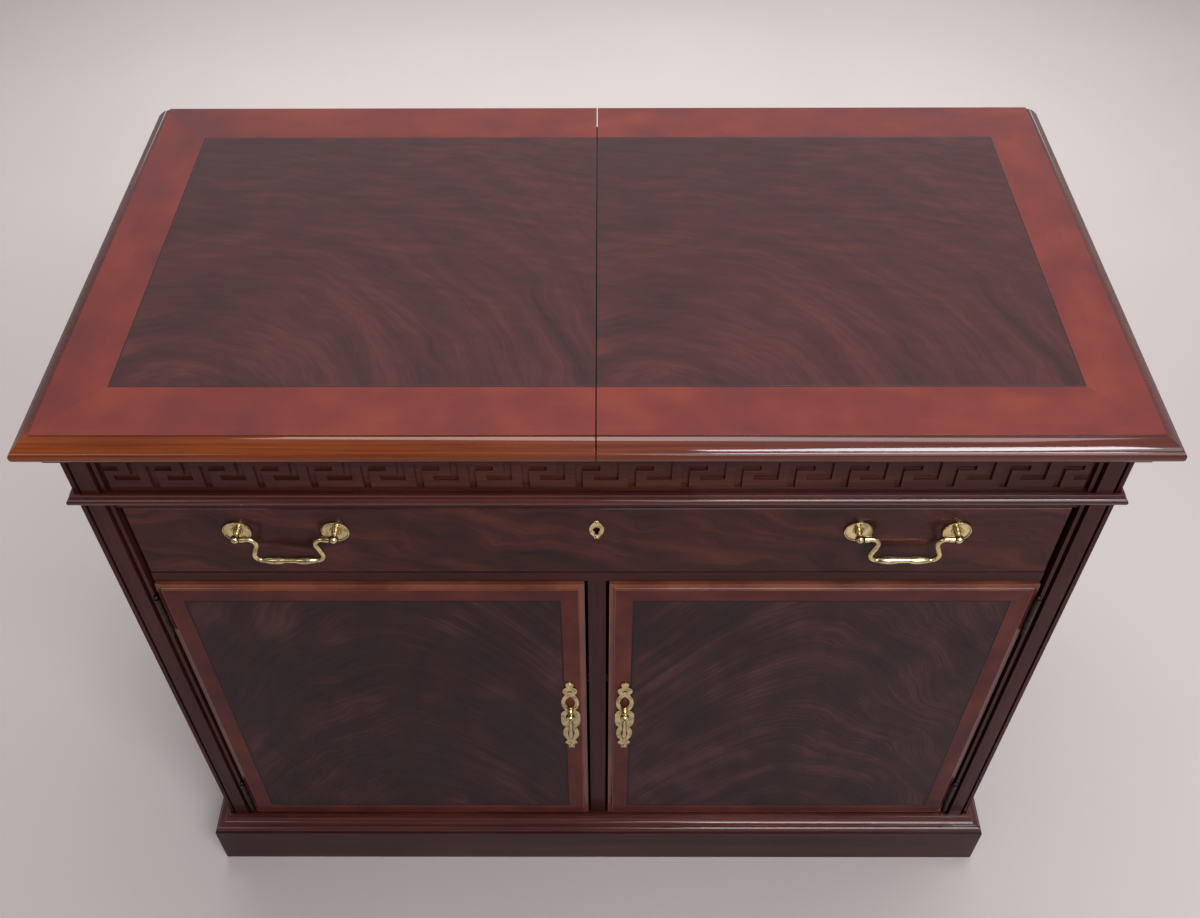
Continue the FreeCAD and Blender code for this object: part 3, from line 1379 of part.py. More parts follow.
def make_drawer_pulls():
    """Two bail pulls: dished rosettes, ball posts through the drawer's front, nuts and bails."""
    rosettes, posts, nuts = [], [], []
    room = s.shank_radius + s.shank_room
    rim = [(u * s.rosette_radius, v * s.rosette_thickness) for u, v in ROSETTE_SHARES]
    ground = s.rosette_thickness * ROSETTE_MIDDLE_SHARE
    dish = [(room, 0)] + rim + [(room, ground)]
    shank = -(s.drawer_front_thickness + s.nut_thickness + s.overrun)
    for number, x in enumerate(post_places()):
        place_on = (x, frame_front, pull_z)
        rosettes.append(turned(f"rosette_{number}", dish, place_on, (0, -1, 0)))
        outline = post_outline(shank, ground, s.post_reach, s.post_ball_radius, s.post_neck_radius)
        blank = turned(f"post_{number}", outline, place_on, (0, -1, 0))
        inward = 1 if number % 2 == 0 else -1
        start = (x + inward * (s.post_ball_radius - s.bail_pin_depth - s.slot_gap), ball_y, pull_z)
        radius = s.bail_pin_radius + s.running_gap
        socket = rod("bail_socket", start, (inward, 0, 0), radius, s.post_ball_radius * 2)
        posts.append(cut(f"post_{number}", blank, socket))
        ring = rectangle((room, s.nut_radius), (0, s.nut_thickness))
        nuts.append(turned(f"nut_{number}", ring, (x, drawer_front_back, pull_z), (0, 1, 0)))
    keep("pull_rosettes", group("pull_rosettes", rosettes))
    keep("pull_posts", group("pull_posts", posts))
    keep("pull_nuts", group("pull_nuts", nuts))
    places = post_places()
    make_bail("left", places[0])
    make_bail("right", places[2])


def check(piece):
    """Stops the build if a piece failed to compute or has no sound solid."""
    shape = piece.Shape
    if shape.isNull() or not shape.isValid() or not shape.Solids:
        raise RuntimeError(f"{piece.Label} has no valid solid")


def write_out():
    """Recomputes the document, checks every object and writes each piece to its own file."""
    document.recompute()
    for item in document.Objects:
        if "Invalid" in item.State or "Error" in item.State:
            raise RuntimeError(f"{item.Label} failed: {item.State}")
    for piece in pieces:
        check(piece)
    os.makedirs("parts", exist_ok=True)
    for piece in pieces:
        piece.Shape.exportStep(f"parts/{piece.Label}.step")
    print(len(pieces), "pieces")


make_plinth()
make_mouldings()
make_corner_stiles()
make_panels()
make_front_frame()
make_frieze_key()
make_drawer_way()
make_cupboard_inside()
make_sub_top()
for side_name, side_sign in SIDES:
    make_leaf(side_name, side_sign)
make_case_hinges()
for side_name, side_sign in SIDES:
    make_door(side_name, side_sign)
make_drawer_box()
make_lock()
make_drawer_pulls()
write_out()
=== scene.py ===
import json
import math

import bmesh
import bpy
from mathutils import Matrix, Vector


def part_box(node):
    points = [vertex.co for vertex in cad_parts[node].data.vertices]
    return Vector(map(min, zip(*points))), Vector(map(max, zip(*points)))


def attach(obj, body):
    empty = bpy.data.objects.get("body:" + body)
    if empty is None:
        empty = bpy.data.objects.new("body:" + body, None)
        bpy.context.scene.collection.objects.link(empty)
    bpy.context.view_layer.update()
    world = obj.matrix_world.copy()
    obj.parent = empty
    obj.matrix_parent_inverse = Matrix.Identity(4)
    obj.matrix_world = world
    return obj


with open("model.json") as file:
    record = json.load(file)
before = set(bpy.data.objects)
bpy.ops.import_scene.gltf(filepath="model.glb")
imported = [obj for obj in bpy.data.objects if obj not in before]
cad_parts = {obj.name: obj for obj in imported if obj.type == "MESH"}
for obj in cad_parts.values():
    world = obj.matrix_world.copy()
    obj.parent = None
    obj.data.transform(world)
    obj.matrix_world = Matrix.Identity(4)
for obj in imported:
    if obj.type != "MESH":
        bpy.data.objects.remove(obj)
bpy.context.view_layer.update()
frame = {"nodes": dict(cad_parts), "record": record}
nodes = frame["nodes"]

MM = 0.001
X, Y, Z = 0, 1, 2

# The camera as fitted to the photograph: place, turn and lens.
CAMERA_PLACE = (5.31 * MM, -1017.32 * MM, 1666.42 * MM)
CAMERA_PITCH = math.radians(47.369)
CAMERA_YAW = math.radians(-0.385)
CAMERA_ROLL = math.radians(-0.314)
CAMERA_LENS_SHARE = 1215.87 / 1200
CAMERA_SHIFT = (0.00313, -0.00917)

# The sensor's width in millimetres, and the nearest distance that the camera sees, in metres.
SENSOR_WIDTH = 36.0
NEAREST_SEEN = 0.05

# Widths of what is drawn in the finish of a board: moulded edges, and the lines round the fields.
TOP_EDGE = 17 * MM
TOP_LINE = 1.6 * MM
DOOR_LINE = 2.4 * MM
DOOR_EDGE = 20.5 * MM

# How gradually one finish goes over into the next: at a mitre, and at a face or an edge.
MITRE_BLUR = 0.5 * MM
FACE_BLUR = 0.2 * MM

# Radii to which sharp edges look softened, on wood and on metal.
ARRIS = 0.7 * MM
BRASS_ARRIS = 0.35 * MM

# How much of a wood's clear lacquer shows: on the top and mouldings, and on the upright faces.
TOP_COAT = 0.85
FRONT_COAT = 0.22

# The domed pins that hold the brass plates: insets from a plate's top and bottom, and radius.
PULL_PINS = (4.4 * MM, 4.6 * MM, 2.3 * MM)
KEYHOLE_PINS = (2.8 * MM, 2.2 * MM, 1.9 * MM)
DOME_RINGS = 6
DOME_CORNERS = 24
PIN_SINK = 0.2 * MM
PIN_RISE_SHARE = 0.6

FLOOR_HALF_WIDTH = 6.0
WHITE = (1.0, 1.0, 1.0)
# Lamps: place, point aimed at, size, power in watts and colour.
LAMPS = {
    "key": ((1.05, -2.6, 2.25), (0.1, -0.25, 0.75), (2.0, 1.7), 50.0, (0.97, 0.96, 1.0)),
    "strip": ((0.95, -1.9, 2.8), (0.5, -0.9, 0.3), (1.3, 0.4), 48.0, (0.95, 0.95, 1.0)),
    "overhead": ((0.2, 0.5, 3.0), (0.0, 0.0, 0.6), (2.4, 0.9), 50.0, WHITE),
    "fill": ((-1.6, -2.4, 2.2), (0.0, -0.2, 0.4), (0.9, 0.9), 7.0, WHITE),
    "behind": ((0.0, 1.7, 1.25), (0.0, 1.75, 0.0), (3.2, 0.5), 26.0, WHITE),
}


class Graph:
    """A material's nodes, with short ways to add and join them."""

    def __init__(self, name):
        self.material = bpy.data.materials.new(name)
        self.material.use_nodes = True
        self.tree = self.material.node_tree
        self.shader = self.tree.nodes["Principled BSDF"]
        self.place = self.add("ShaderNodeTexCoord").outputs["Object"]
        self.x, self.y, self.z = self.add("ShaderNodeSeparateXYZ", {0: self.place}).outputs

    def add(self, kind, inputs=None, **settings):
        node = self.tree.nodes.new(kind)
        for name, value in settings.items():
            setattr(node, name, value)
        for name, value in (inputs or {}).items():
            self.put(node.inputs[name], value)
        return node

    def put(self, socket, value):
        if isinstance(value, bpy.types.NodeSocket):
            self.tree.links.new(value, socket)
        else:
            socket.default_value = value

    def math(self, operation, *values):
        node = self.add("ShaderNodeMath", operation=operation)
        for number, value in enumerate(values):
            self.put(node.inputs[number], value)
        return node.outputs[0]

    def plus(self, one, two):
        return self.math("ADD", one, two)

    def minus(self, one, two):
        return self.math("SUBTRACT", one, two)

    def times(self, one, two):
        return self.math("MULTIPLY", one, two)

    def blend(self, *shares):
        """The sum of values, each with its share."""
        total = 0.0
        for value, share in shares:
            total = self.math("MULTIPLY_ADD", value, share, total)
        return total

    def vector(self, x, y, z=0.0):
        return self.add("ShaderNodeCombineXYZ", {0: x, 1: y, 2: z}).outputs[0]

    def scaled(self, scales, vector=None):
        inputs = {0: self.place if vector is None else vector, 1: scales}
        return self.add("ShaderNodeVectorMath", inputs, operation="MULTIPLY").outputs[0]

    def noise(self, vector, detail=4.0, roughness=0.5):
        inputs = {"Vector": vector, "Scale": 1.0, "Detail": detail, "Roughness": roughness}
        return self.add("ShaderNodeTexNoise", inputs).outputs["Fac"]

    def cloud(self, size, detail=3.0):
        """Soft blotches, about this many metres across."""
        return self.noise(self.scaled((1 / size, 1 / size, 1 / size)), detail)

    def streaks(self, axis, width, length, detail=4.0, roughness=0.55):
        """Streaks along an axis, of this width and length in metres."""
        scales = tuple(1 / length if number == axis else 1 / width for number in (X, Y, Z))
        return self.noise(self.scaled(scales), detail, roughness)

    def between(self, value, low, high):
        """0 where the value is low, 1 where it is high."""
        inputs = {"Value": value, "From Min": low, "From Max": high}
        return self.add("ShaderNodeMapRange", inputs).outputs["Result"]

    def ramp(self, factor, *stops):
        node = self.add("ShaderNodeValToRGB", {0: factor})
        elements = node.color_ramp.elements
        while len(elements) < len(stops):
            elements.new(0.5)
        for element, (position, colour) in zip(elements, stops):
            element.position = position
            element.color = (*colour, 1.0)
        return node.outputs["Color"]

    def mix(self, factor, one, two):
        """One colour where the factor is 0, the other where it is 1."""
        node = self.add("ShaderNodeMix", data_type="RGBA")
        self.put(node.inputs["Factor"], factor)
        for name, value in (("A", one), ("B", two)):
            socket = [item for item in node.inputs if item.name == name and item.type == "RGBA"][0]
            self.put(socket, value if isinstance(value, bpy.types.NodeSocket) else (*value, 1.0))
        return [item for item in node.outputs if item.type == "RGBA"][0]

    def outside(self, axes, low, high):
        """How far outside a rectangle a point lies, along two axes; negative inside."""
        ways = []
        for axis in axes:
            place = (self.x, self.y, self.z)[axis]
            middle = (low[axis] + high[axis]) / 2
            away = self.math("ABSOLUTE", self.minus(place, middle))
            ways.append(self.minus(away, (high[axis] - low[axis]) / 2))
        return self.math("MAXIMUM", *ways), ways

    def finish(self, colour, roughness, bump, bump_height, arris, **constants):
        """Joins the colour, gloss and fine relief to the shader, with edges that look softened."""
        self.put(self.shader.inputs["Base Color"], colour)
        self.put(self.shader.inputs["Roughness"], roughness)
        for name, value in constants.items():
            self.shader.inputs[name.replace("_", " ")].default_value = value
        soft = self.add("ShaderNodeBevel", {"Radius": arris}, samples=4).outputs["Normal"]
        inputs = {"Height": bump, "Distance": bump_height, "Strength": 1.0, "Normal": soft}
        node = self.add("ShaderNodeBump", inputs)
        self.put(self.shader.inputs["Normal"], node.outputs["Normal"])
        self.put(self.shader.inputs["Coat Normal"], soft)
        return self.material


def lacquered(graph, colour, pores, coat=TOP_COAT):
    """Closes a wood's material: open pores under a clear lacquer with slight changes of gloss."""
    gloss = graph.blend((graph.cloud(0.12), 0.25), (graph.cloud(0.006, 2.0), 0.08))
    roughness = graph.plus(gloss, 0.3)
    constants = {"Specular_IOR_Level": 0.08, "Coat_Roughness": 0.045, "Coat_IOR": 1.4}
    graph.put(graph.shader.inputs["Coat Weight"], coat)
    return graph.finish(colour, roughness, pores, 0.03 * MM, ARRIS, **constants)


def pores(graph, axis):
    """Short dark pores along the grain: 1 on the wood, 0 in a pore."""
    return graph.between(graph.streaks(axis, 0.9 * MM, 18 * MM, 2.0), 0.64, 0.5)


def straight_wood(name, axis, coat, dark, middle, light):
    """Straight-grained mahogany: broad ribbons, fine streaks and pores along one axis."""
    graph = Graph(name)
    ribbon = graph.streaks(axis, 26 * MM, 500 * MM, 2.0)
    streak = graph.streaks(axis, 3.2 * MM, 130 * MM, 4.0, 0.6)
    tone = graph.blend((ribbon, 0.4), (streak, 0.35), (graph.cloud(0.16), 0.25))
    colour = graph.ramp(tone, (0.36, dark), (0.5, middle), (0.66, light))
    open_pores = pores(graph, axis)
    colour = graph.mix(graph.blend((open_pores, -0.5), (1.0, 0.5)), colour, dark)
    return lacquered(graph, colour, open_pores, coat)


def banding(graph, side, axes, dark, middle, light):
    """Border veneer in soft blotches, with a faint grain along the edge that turns at the mitre."""
    tones = []
    for axis in axes:
        fine = graph.streaks(axis, 2.4 * MM, 90 * MM, 4.0, 0.6)
        broad = graph.streaks(axis, 60 * MM, 110 * MM, 2.0)
        tones.append(graph.blend((fine, 0.12), (broad, 0.5), (graph.cloud(0.05), 0.38)))
    tone = graph.plus(graph.times(tones[0], side), graph.times(tones[1], graph.minus(1.0, side)))
    return graph.ramp(tone, (0.36, dark), (0.5, middle), (0.64, light))


def top_border_wood():
    """Border of the top: reddish banding, a dark line round the field, and a moulded edge with
    painted light and shade: lit amber at the front left, darker red at the right and the ends.
    """
    graph = Graph("top_border")
    low = Vector(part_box("leaf_field_left")[0])
    high = Vector(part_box("leaf_field_right")[1])
    out, (out_x, out_y) = graph.outside((X, Y), low, high)
    side = graph.between(graph.minus(out_x, out_y), -MITRE_BLUR, MITRE_BLUR)
    band = banding(
        graph, side, (Y, X), (0.090, 0.017, 0.018), (0.125, 0.020, 0.015), (0.160, 0.028, 0.016)
    )
    line = graph.between(out, TOP_LINE, TOP_LINE - MITRE_BLUR)
    on_face = graph.between(graph.z, low.z - FACE_BLUR, low.z)
    band = graph.mix(graph.times(line, on_face), band, (0.018, 0.007, 0.007))
    leaf_low = Vector(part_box("leaf_board_left")[0])
    leaf_high = Vector(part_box("leaf_board_right")[1])
    inset = Vector((TOP_EDGE, TOP_EDGE, 0))
    lip, _ = graph.outside((X, Y), leaf_low + inset, leaf_high + Vector((-TOP_EDGE, TOP_EDGE, 0)))
    streak = graph.blend((graph.streaks(X, 2 * MM, 160 * MM), 0.6), (graph.cloud(0.2), 0.4))
    # The moulded edge: lit amber painted on the front towards the left, and painted shade in darker
    # red towards the right and on the ends.
    edge = graph.ramp(streak, (0.36, (0.085, 0.014, 0.002)), (0.64, (0.185, 0.040, 0.004)))
    shaded_edge_red = graph.ramp(streak, (0.36, (0.040, 0.008, 0.006)), (0.64, (0.095, 0.020, 0.013)))
    shade_to_right = graph.between(graph.blend((graph.x, 1.0), (graph.cloud(0.2), 0.3)), -0.1, 0.35)
    shade_at_ends = graph.between(graph.y, leaf_low.y + TOP_EDGE, leaf_low.y + 2 * TOP_EDGE)
    edge = graph.mix(graph.math("MAXIMUM", shade_to_right, shade_at_ends), edge, shaded_edge_red)
    colour = graph.mix(graph.between(lip, -2 * FACE_BLUR, FACE_BLUR), band, edge)
    return lacquered(graph, colour, pores(graph, X))


def top_field_wood():
    """Swirled veneer, the same on both leaves: arcs from the front left and red wisps behind."""
    graph = Graph("top_field")
    low, high = (Vector(corner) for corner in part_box("leaf_field_right"))
    width, depth = high.x - low.x, high.y - low.y
    on_left = graph.between(graph.x, 0.01 * MM, -0.01 * MM)
    x = graph.plus(graph.minus(graph.x, low.x), graph.times(on_left, high.x + low.x))
    y = graph.minus(graph.y, low.y)
    place = graph.vector(x, y)
    swirl = graph.noise(graph.scaled((7.0, 9.0, 1.0), place), 2.0)
    across = graph.minus(x, 0.12 * width)
    forth = graph.times(graph.plus(y, 0.3 * depth), 0.85)
    round_way = graph.math("ARCTAN2", forth, across)
    length = graph.math("SQRT", graph.plus(graph.times(across, across), graph.times(forth, forth)))
    ring = graph.blend((length, 1.0), (swirl, 0.065))
    broad = graph.noise(graph.vector(graph.times(ring, 45.0), graph.times(round_way, 1.6)), 3.0)
    fine_place = graph.vector(graph.times(ring, 260.0), graph.times(round_way, 5.0))
    fine = graph.noise(fine_place, 4.0, 0.6)
    rise = graph.blend((y, 1.0), (x, 0.18), (swirl, 0.05))
    wisp = graph.noise(graph.vector(graph.times(x, 9.0), graph.times(rise, 95.0)), 4.0, 0.6)
    mottle = graph.noise(graph.scaled((26.0, 60.0, 1.0), place), 3.0)
    front = graph.between(y, 0.75 * depth, 0.2 * depth)
    arcs = graph.blend((broad, 0.62), (fine, 0.38))
    wisps = graph.blend((wisp, 0.6), (mottle, 0.4))
    share = graph.blend((front, 0.5), (1.0, 0.3))
    tone = graph.plus(graph.times(arcs, share), graph.times(wisps, graph.minus(1.0, share)))
    colour = graph.ramp(
        tone,
        (0.38, (0.027, 0.009, 0.009)),
        (0.5, (0.045, 0.012, 0.012)),
        (0.65, (0.075, 0.018, 0.016)),
    )
    back_left = graph.times(graph.between(y, 0.4 * depth, depth), graph.between(x, width, 0))
    colour = graph.mix(graph.times(back_left, 0.45), colour, (0.024, 0.010, 0.011))
    return lacquered(graph, colour, pores(graph, X))


def door_border_wood():
    """A door's board: red banding with mitred corners, a dark line, and plain wood behind."""
    graph = Graph("door_border")
    low, high = (Vector(corner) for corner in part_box("door_field_right"))
    away = graph.math("ABSOLUTE", graph.x)
    middle = (low.x + high.x) / 2
    out_x = graph.minus(graph.math("ABSOLUTE", graph.minus(away, middle)), (high.x - low.x) / 2)
    out_z = graph.math("ABSOLUTE", graph.minus(graph.z, (low.z + high.z) / 2))
    out_z = graph.minus(out_z, (high.z - low.z) / 2)
    side = graph.between(graph.minus(out_x, out_z), -MITRE_BLUR, MITRE_BLUR)
    band = banding(
        graph, side, (Z, X), (0.036, 0.007, 0.006), (0.060, 0.011, 0.009), (0.090, 0.018, 0.013)
    )
    out = graph.math("MAXIMUM", out_x, out_z)
    line = graph.between(out, DOOR_LINE, DOOR_LINE - 3 * FACE_BLUR)
    on_face = graph.between(graph.y, high.y + FACE_BLUR, high.y)
    colour = graph.mix(graph.times(line, on_face), band, (0.010, 0.005, 0.005))
    edge = graph.between(out, DOOR_EDGE, DOOR_EDGE + 2 * FACE_BLUR)
    # The moulded edge in a lighter orange-brown: the edge wood's warmer tone together with painted
    # light, full on the top and bottom edges, less on the inner uprights and least on the outer
    # uprights, which are left in painted shade.
    blotch = graph.cloud(0.07)
    edge_tone_and_light = graph.ramp(blotch, (0.4, (0.090, 0.022, 0.012)), (0.62, (0.150, 0.042, 0.020)))
    inner = graph.between(away, middle, low.x)
    upright = graph.times(side, graph.blend((inner, -0.45), (1.0, 0.85)))
    colour = graph.mix(graph.times(edge, graph.minus(1.0, upright)), colour, edge_tone_and_light)
    board_low, board_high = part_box("door_board_right")
    depth = (board_low[Y] + board_high[Y]) / 2
    streak = graph.blend((graph.streaks(Z, 3.2 * MM, 130 * MM), 0.6), (graph.cloud(0.16), 0.4))
    inner_face = graph.ramp(streak, (0.38, (0.022, 0.006, 0.005)), (0.62, (0.055, 0.014, 0.011)))
    behind = graph.between(graph.y, depth, depth + FACE_BLUR)
    colour = graph.mix(behind, colour, inner_face)
    coat = graph.blend((edge, TOP_COAT - FRONT_COAT), (1.0, FRONT_COAT))
    return lacquered(graph, colour, pores(graph, Z), coat)


def door_field_wood():
    """Feather veneer of the doors: nested arches of fine streaks either side of a dark spine."""
    graph = Graph("door_field")
    low, high = (Vector(corner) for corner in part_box("door_field_right"))
    half, height = (high.x - low.x) / 2, high.z - low.z
    side = graph.math("SIGN", graph.x)
    out = graph.minus(graph.math("ABSOLUTE", graph.x), (low.x + high.x) / 2)
    warp = graph.noise(graph.scaled((7.0, 1.0, 7.0)), 2.0)
    across = graph.blend((out, 1 / half), (warp, 0.35), (-0.17, 1.0))
    spread = graph.math("POWER", graph.math("ABSOLUTE", across), 1.55)
    rise = graph.blend((graph.z, 1 / height), (spread, 0.42), (warp, 0.16))
    broad = graph.noise(graph.vector(graph.times(rise, 15.0), graph.times(across, 0.9), side), 3.0)
    fine_place = graph.vector(graph.times(rise, 95.0), graph.times(across, 3.0), side)
    fine = graph.noise(fine_place, 4.0, 0.62)
    mottle = graph.noise(graph.scaled((30.0, 1.0, 14.0)), 3.0)
    soft = graph.cloud(0.11)
    tone = graph.blend((broad, 0.26), (fine, 0.3), (mottle, 0.2), (soft, 0.24))
    # The right door's field is shifted a shade lighter and the left's a shade darker: painted light
    # from the right.
    colour = graph.ramp(
        graph.blend((tone, 1.0), (side, 0.012)),
        (0.4, (0.012, 0.005, 0.006)),
        (0.51, (0.024, 0.008, 0.009)),
        (0.62, (0.056, 0.018, 0.017)),
    )
    spine = graph.between(graph.math("ABSOLUTE", across), 0.16, 0.02)
    colour = graph.mix(graph.times(spine, 0.35), colour, (0.016, 0.006, 0.006))
    return lacquered(graph, colour, pores(graph, Z), FRONT_COAT)


def drawer_wood():
    """Swirled veneer of the drawer's front: slanting streaks through soft dark clouds."""
    graph = Graph("drawer_veneer")
    warp = graph.noise(graph.scaled((8.0, 1.0, 14.0)), 3.0)
    rise = graph.blend((graph.z, 1.0), (graph.x, 0.3), (warp, 0.11))
    broad = graph.noise(graph.vector(graph.times(rise, 42.0), graph.times(graph.x, 5.0)), 3.0)
    fine = graph.noise(graph.vector(graph.times(rise, 260.0), graph.times(graph.x, 14.0)), 4.0, 0.6)
    tone = graph.blend((broad, 0.5), (fine, 0.28), (graph.cloud(0.05), 0.22))
    colour = graph.ramp(
        tone,
        (0.38, (0.017, 0.006, 0.006)),
        (0.5, (0.034, 0.009, 0.008)),
        (0.63, (0.066, 0.017, 0.012)),
    )
    return lacquered(graph, colour, pores(graph, X), FRONT_COAT)


# Straight woods: lacquer, then dark, middle and light colour.
WOODS = {
    "plinth_wood": (
        FRONT_COAT,
        (0.020, 0.007, 0.006),
        (0.036, 0.011, 0.010),
        (0.060, 0.020, 0.017),
    ),
    "case_wood": (
        FRONT_COAT,
        (0.016, 0.004, 0.0035),
        (0.030, 0.007, 0.006),
        (0.055, 0.013, 0.011),
    ),
    "moulding_wood": (
        1.0,
        (0.030, 0.006, 0.005),
        (0.056, 0.011, 0.008),
        (0.100, 0.022, 0.013),
    ),
    "frieze_wood": (
        FRONT_COAT,
        (0.020, 0.005, 0.0035),
        (0.037, 0.009, 0.006),
        (0.072, 0.018, 0.010),
    ),
    "inner_wood": (
        FRONT_COAT,
        (0.16, 0.07, 0.03),
        (0.24, 0.11, 0.05),
        (0.33, 0.16, 0.08),
    ),
}
FIGURED = {
    "top_border_wood": top_border_wood,
    "top_field_wood": top_field_wood,
    "door_border_wood": door_border_wood,
    "door_field_wood": door_field_wood,
    "drawer_wood": drawer_wood,
}
# Nodes whose grain doesn't run from left to right.
GRAIN = {
    "plinth_sides": Y,
    "corner_stile_left": Z,
    "corner_stile_right": Z,
    "side_panel_left": Z,
    "side_panel_right": Z,
    "centre_stile": Z,
    "back_panel": Z,
    "drawer_runners": Y,
    "drawer_kickers": Y,
    "drawer_sides": Y,
}


def brass(name, light, dark, roughness):
    """Cast brass: polished where it is handled, brown in patches, with a fine uneven surface."""
    graph = Graph(name)
    patch = graph.blend((graph.cloud(7 * MM, 4.0), 0.6), (graph.cloud(1.2 * MM, 3.0), 0.4))
    colour = graph.ramp(patch, (0.38, dark), (0.56, light))
    # Darker where nearby surfaces hem the brass in, in its hollows and beside the wood and other
    # parts: painted shade.
    ambient_shade = graph.add("ShaderNodeAmbientOcclusion", {"Distance": 5 * MM}, samples=6).outputs["AO"]
    unshaded_share = graph.between(ambient_shade, 0.35, 0.85)
    colour = graph.mix(unshaded_share, tuple(0.25 * share for share in dark), colour)
    rough = graph.blend((patch, 0.3), (roughness, 1.0))
    dents = graph.blend((graph.cloud(2.5 * MM), 0.8), (graph.cloud(0.5 * MM), 0.2))
    return graph.finish(colour, rough, dents, 0.12 * MM, BRASS_ARRIS, Metallic=1.0)


def plain(name, low, high, roughness, metallic=0.0):
    """A plain surface with slight changes of tone and a faint texture."""
    graph = Graph(name)
    grain = graph.cloud(2 * MM)
    tone = graph.blend((grain, 0.5), (graph.cloud(40 * MM), 0.5))
    colour = graph.ramp(tone, (0.4, low), (0.6, high))
    rough = graph.blend((grain, 0.15), (roughness, 1.0))
    return graph.finish(colour, rough, grain, 0.02 * MM, BRASS_ARRIS, Metallic=metallic)


def other_finishes():
    """The finishes that aren't wood, by slot."""
    return {
        "lining_laminate": plain("laminate", (0.010, 0.010, 0.011), (0.018, 0.018, 0.019), 0.22),
        "antique_brass": brass("polished_brass", (0.78, 0.63, 0.34), (0.34, 0.26, 0.12), 0.06),
        "hinge_brass": brass("dark_brass", (0.050, 0.036, 0.026), (0.020, 0.015, 0.013), 0.22),
        "lock_steel": plain("steel", (0.35, 0.35, 0.35), (0.5, 0.5, 0.5), 0.3, 1.0),
        "catch_plastic": plain("catch", (0.10, 0.05, 0.03), (0.14, 0.07, 0.04), 0.4),
    }


def dress_nodes():
    """Gives every node of the part the finish of its slot, with its own direction of grain."""
    slots = {row["node"]: row["material_slot"] for row in frame["record"]["subparts"]}
    made = other_finishes()
    for name, piece in nodes.items():
        slot = slots[name]
        key = slot
        if slot in WOODS:
            axis = GRAIN.get(name, X)
            key = f"{slot}_{'xyz'[axis]}"
            if key not in made:
                made[key] = straight_wood(key, axis, *WOODS[slot])
        elif slot not in made:
            made[slot] = FIGURED[slot]()
        for holder in piece.material_slots:
            holder.material = made[key]
    return made


finishes = dress_nodes()


def add_dome(mesh, x, front, z, radius, rise):
    """A domed pin head on an upright surface: rings from a sunk rim to the point in the middle."""
    rings = []
    for step in range(DOME_RINGS):
        turn = math.radians(90) * step / DOME_RINGS
        out, forward = radius * math.cos(turn), rise * math.sin(turn)
        rings.append((out, front - forward))
    rings.insert(0, (radius, front + PIN_SINK))
    angles = [math.tau * number / DOME_CORNERS for number in range(DOME_CORNERS)]
    corners = []
    for out, y in rings:
        places = [(x + out * math.cos(angle), y, z + out * math.sin(angle)) for angle in angles]
        corners.append([mesh.verts.new(place) for place in places])
    for outer, inner in zip(corners, corners[1:]):
        for number in range(DOME_CORNERS):
            after = (number + 1) % DOME_CORNERS
            mesh.faces.new((outer[number], outer[after], inner[after], inner[number]))
    tip = mesh.verts.new((x, front - rise, z))
    for number in range(DOME_CORNERS):
        mesh.faces.new((corners[-1][number], corners[-1][(number + 1) % DOME_CORNERS], tip))
    mesh.faces.new(reversed(corners[0]))


def make_plate_pins(plate, body, top_inset, bottom_inset, radius):
    """The two pins that hold a brass plate, near its top and its bottom."""
    low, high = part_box(plate)
    shape = bmesh.new()
    for z in (high.z - top_inset, low.z + bottom_inset):
        add_dome(shape, (low.x + high.x) / 2, low.y, z, radius, PIN_RISE_SHARE * radius)
    bmesh.ops.recalc_face_normals(shape, faces=shape.faces)
    for face in shape.faces:
        face.smooth = len(face.verts) < DOME_CORNERS
    data = bpy.data.meshes.new(f"{plate}_pins")
    shape.to_mesh(data)
    shape.free()
    pins = bpy.data.objects.new(f"{plate}_pins", data)
    bpy.context.collection.objects.link(pins)
    data.materials.append(finishes["antique_brass"])
    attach(pins, body)


for side in ("left", "right"):
    make_plate_pins(f"door_pull_plate_{side}", f"door_{side}", *PULL_PINS)
make_plate_pins("drawer_escutcheon", "drawer", *KEYHOLE_PINS)


def make_floor():
    """A plain pale floor."""
    mesh = bpy.data.meshes.new("floor")
    half = FLOOR_HALF_WIDTH
    corners = [(-half, -half, 0), (half, -half, 0), (half, half, 0), (-half, half, 0)]
    mesh.from_pydata(corners, [], [(0, 1, 2, 3)])
    floor = bpy.data.objects.new("floor", mesh)
    bpy.context.collection.objects.link(floor)
    graph = Graph("floor_paint")
    colour = graph.ramp(graph.cloud(0.7), (0.3, (0.43, 0.385, 0.37)), (0.7, (0.455, 0.41, 0.395)))
    floor.data.materials.append(graph.finish(colour, 0.55, graph.cloud(3 * MM), 0.05 * MM, ARRIS))


def make_light(name, place, aim, size, power, colour):
    """A rectangular lamp that faces the point aimed at."""
    data = bpy.data.lights.new(name, "AREA")
    data.shape = "RECTANGLE"
    data.size, data.size_y = size
    data.energy = power
    data.color = colour
    light = bpy.data.objects.new(name, data)
    light.location = place
    light.rotation_mode = "QUATERNION"
    light.rotation_quaternion = (Vector(aim) - Vector(place)).to_track_quat("-Z", "Y")
    bpy.context.collection.objects.link(light)


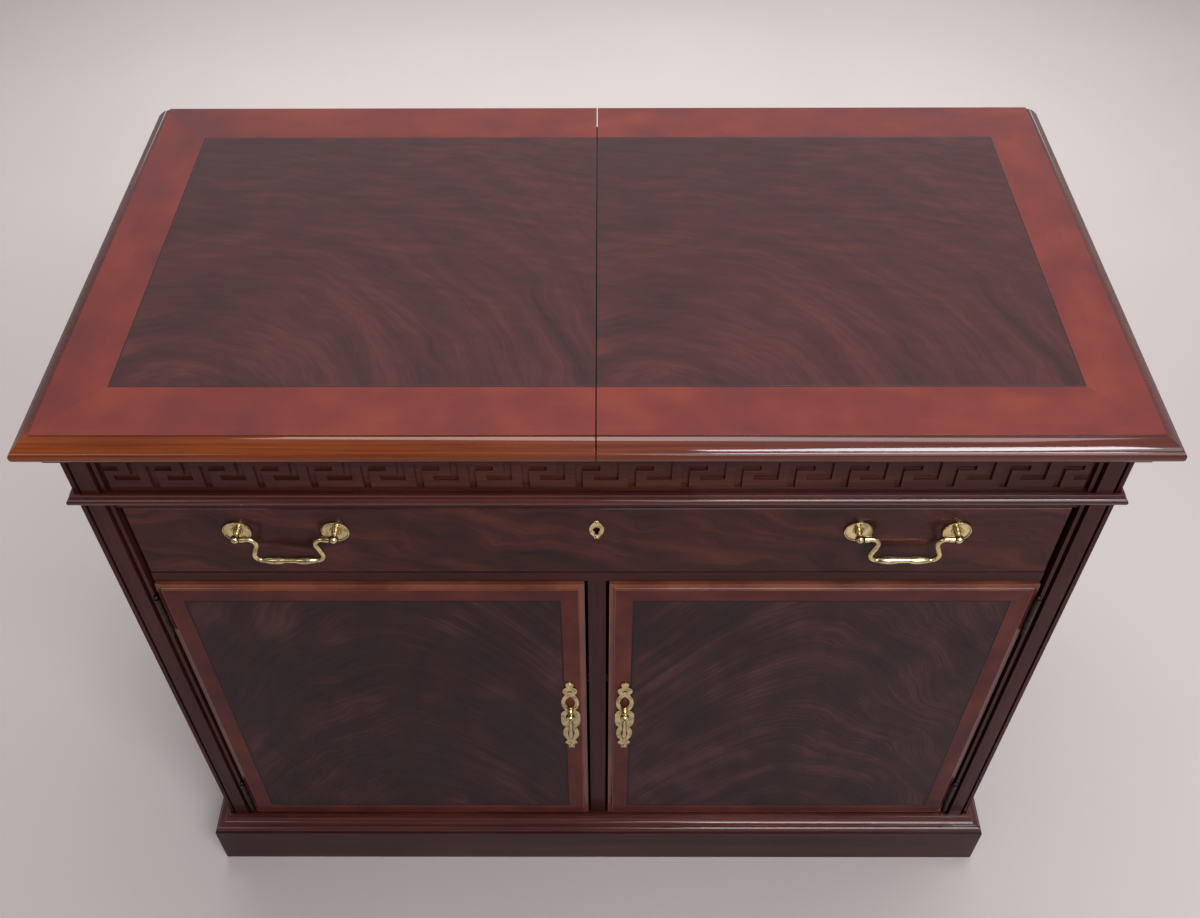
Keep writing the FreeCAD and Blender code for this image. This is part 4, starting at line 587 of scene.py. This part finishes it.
def make_surround():
    """Soft reflections: palest from behind and the right, dark from in front and the left."""
    world = bpy.data.worlds.new("surround")
    world.use_nodes = True
    tree = world.node_tree
    place = tree.nodes.new("ShaderNodeTexCoord").outputs["Generated"]
    lean = tree.nodes.new("ShaderNodeVectorMath")
    lean.operation = "DOT_PRODUCT"
    lean.inputs[1].default_value = (0.45, 0.75, 0.1)
    tree.links.new(place, lean.inputs[0])
    shade = tree.nodes.new("ShaderNodeMapRange")
    tree.links.new(lean.outputs["Value"], shade.inputs["Value"])
    for name, value in (("From Min", -0.9), ("From Max", 0.9), ("To Min", 0.08), ("To Max", 0.6)):
        shade.inputs[name].default_value = value
    background = tree.nodes["Background"]
    background.inputs["Color"].default_value = (0.98, 0.95, 1.0, 1.0)
    tree.links.new(shade.outputs["Result"], background.inputs["Strength"])
    bpy.context.scene.world = world


def make_studio():
    """Plain soft light: the surround, and the lamps in front, overhead and behind."""
    make_surround()
    for name, row in LAMPS.items():
        make_light(name, *row)


def make_camera():
    """The camera at the photograph's place and angle."""
    pitch, yaw, roll = CAMERA_PITCH, CAMERA_YAW, CAMERA_ROLL
    level = math.cos(pitch)
    forward = Vector((math.sin(yaw) * level, math.cos(yaw) * level, -math.sin(pitch)))
    right = Vector((math.cos(yaw), -math.sin(yaw), 0.0))
    up = right.cross(forward)
    across = math.cos(roll) * right + math.sin(roll) * up
    upward = -math.sin(roll) * right + math.cos(roll) * up
    data = bpy.data.cameras.new("camera")
    data.sensor_width = SENSOR_WIDTH
    data.sensor_fit = "HORIZONTAL"
    data.lens = data.sensor_width * CAMERA_LENS_SHARE
    data.shift_x, data.shift_y = CAMERA_SHIFT
    data.clip_start = NEAREST_SEEN
    camera = bpy.data.objects.new("camera", data)
    turn = Matrix((across, upward, -forward)).transposed()
    camera.matrix_world = Matrix.Translation(CAMERA_PLACE) @ turn.to_4x4()
    bpy.context.collection.objects.link(camera)
    bpy.context.scene.camera = camera


make_floor()
make_studio()
make_camera()
bpy.context.scene.view_settings.view_transform = "Standard"
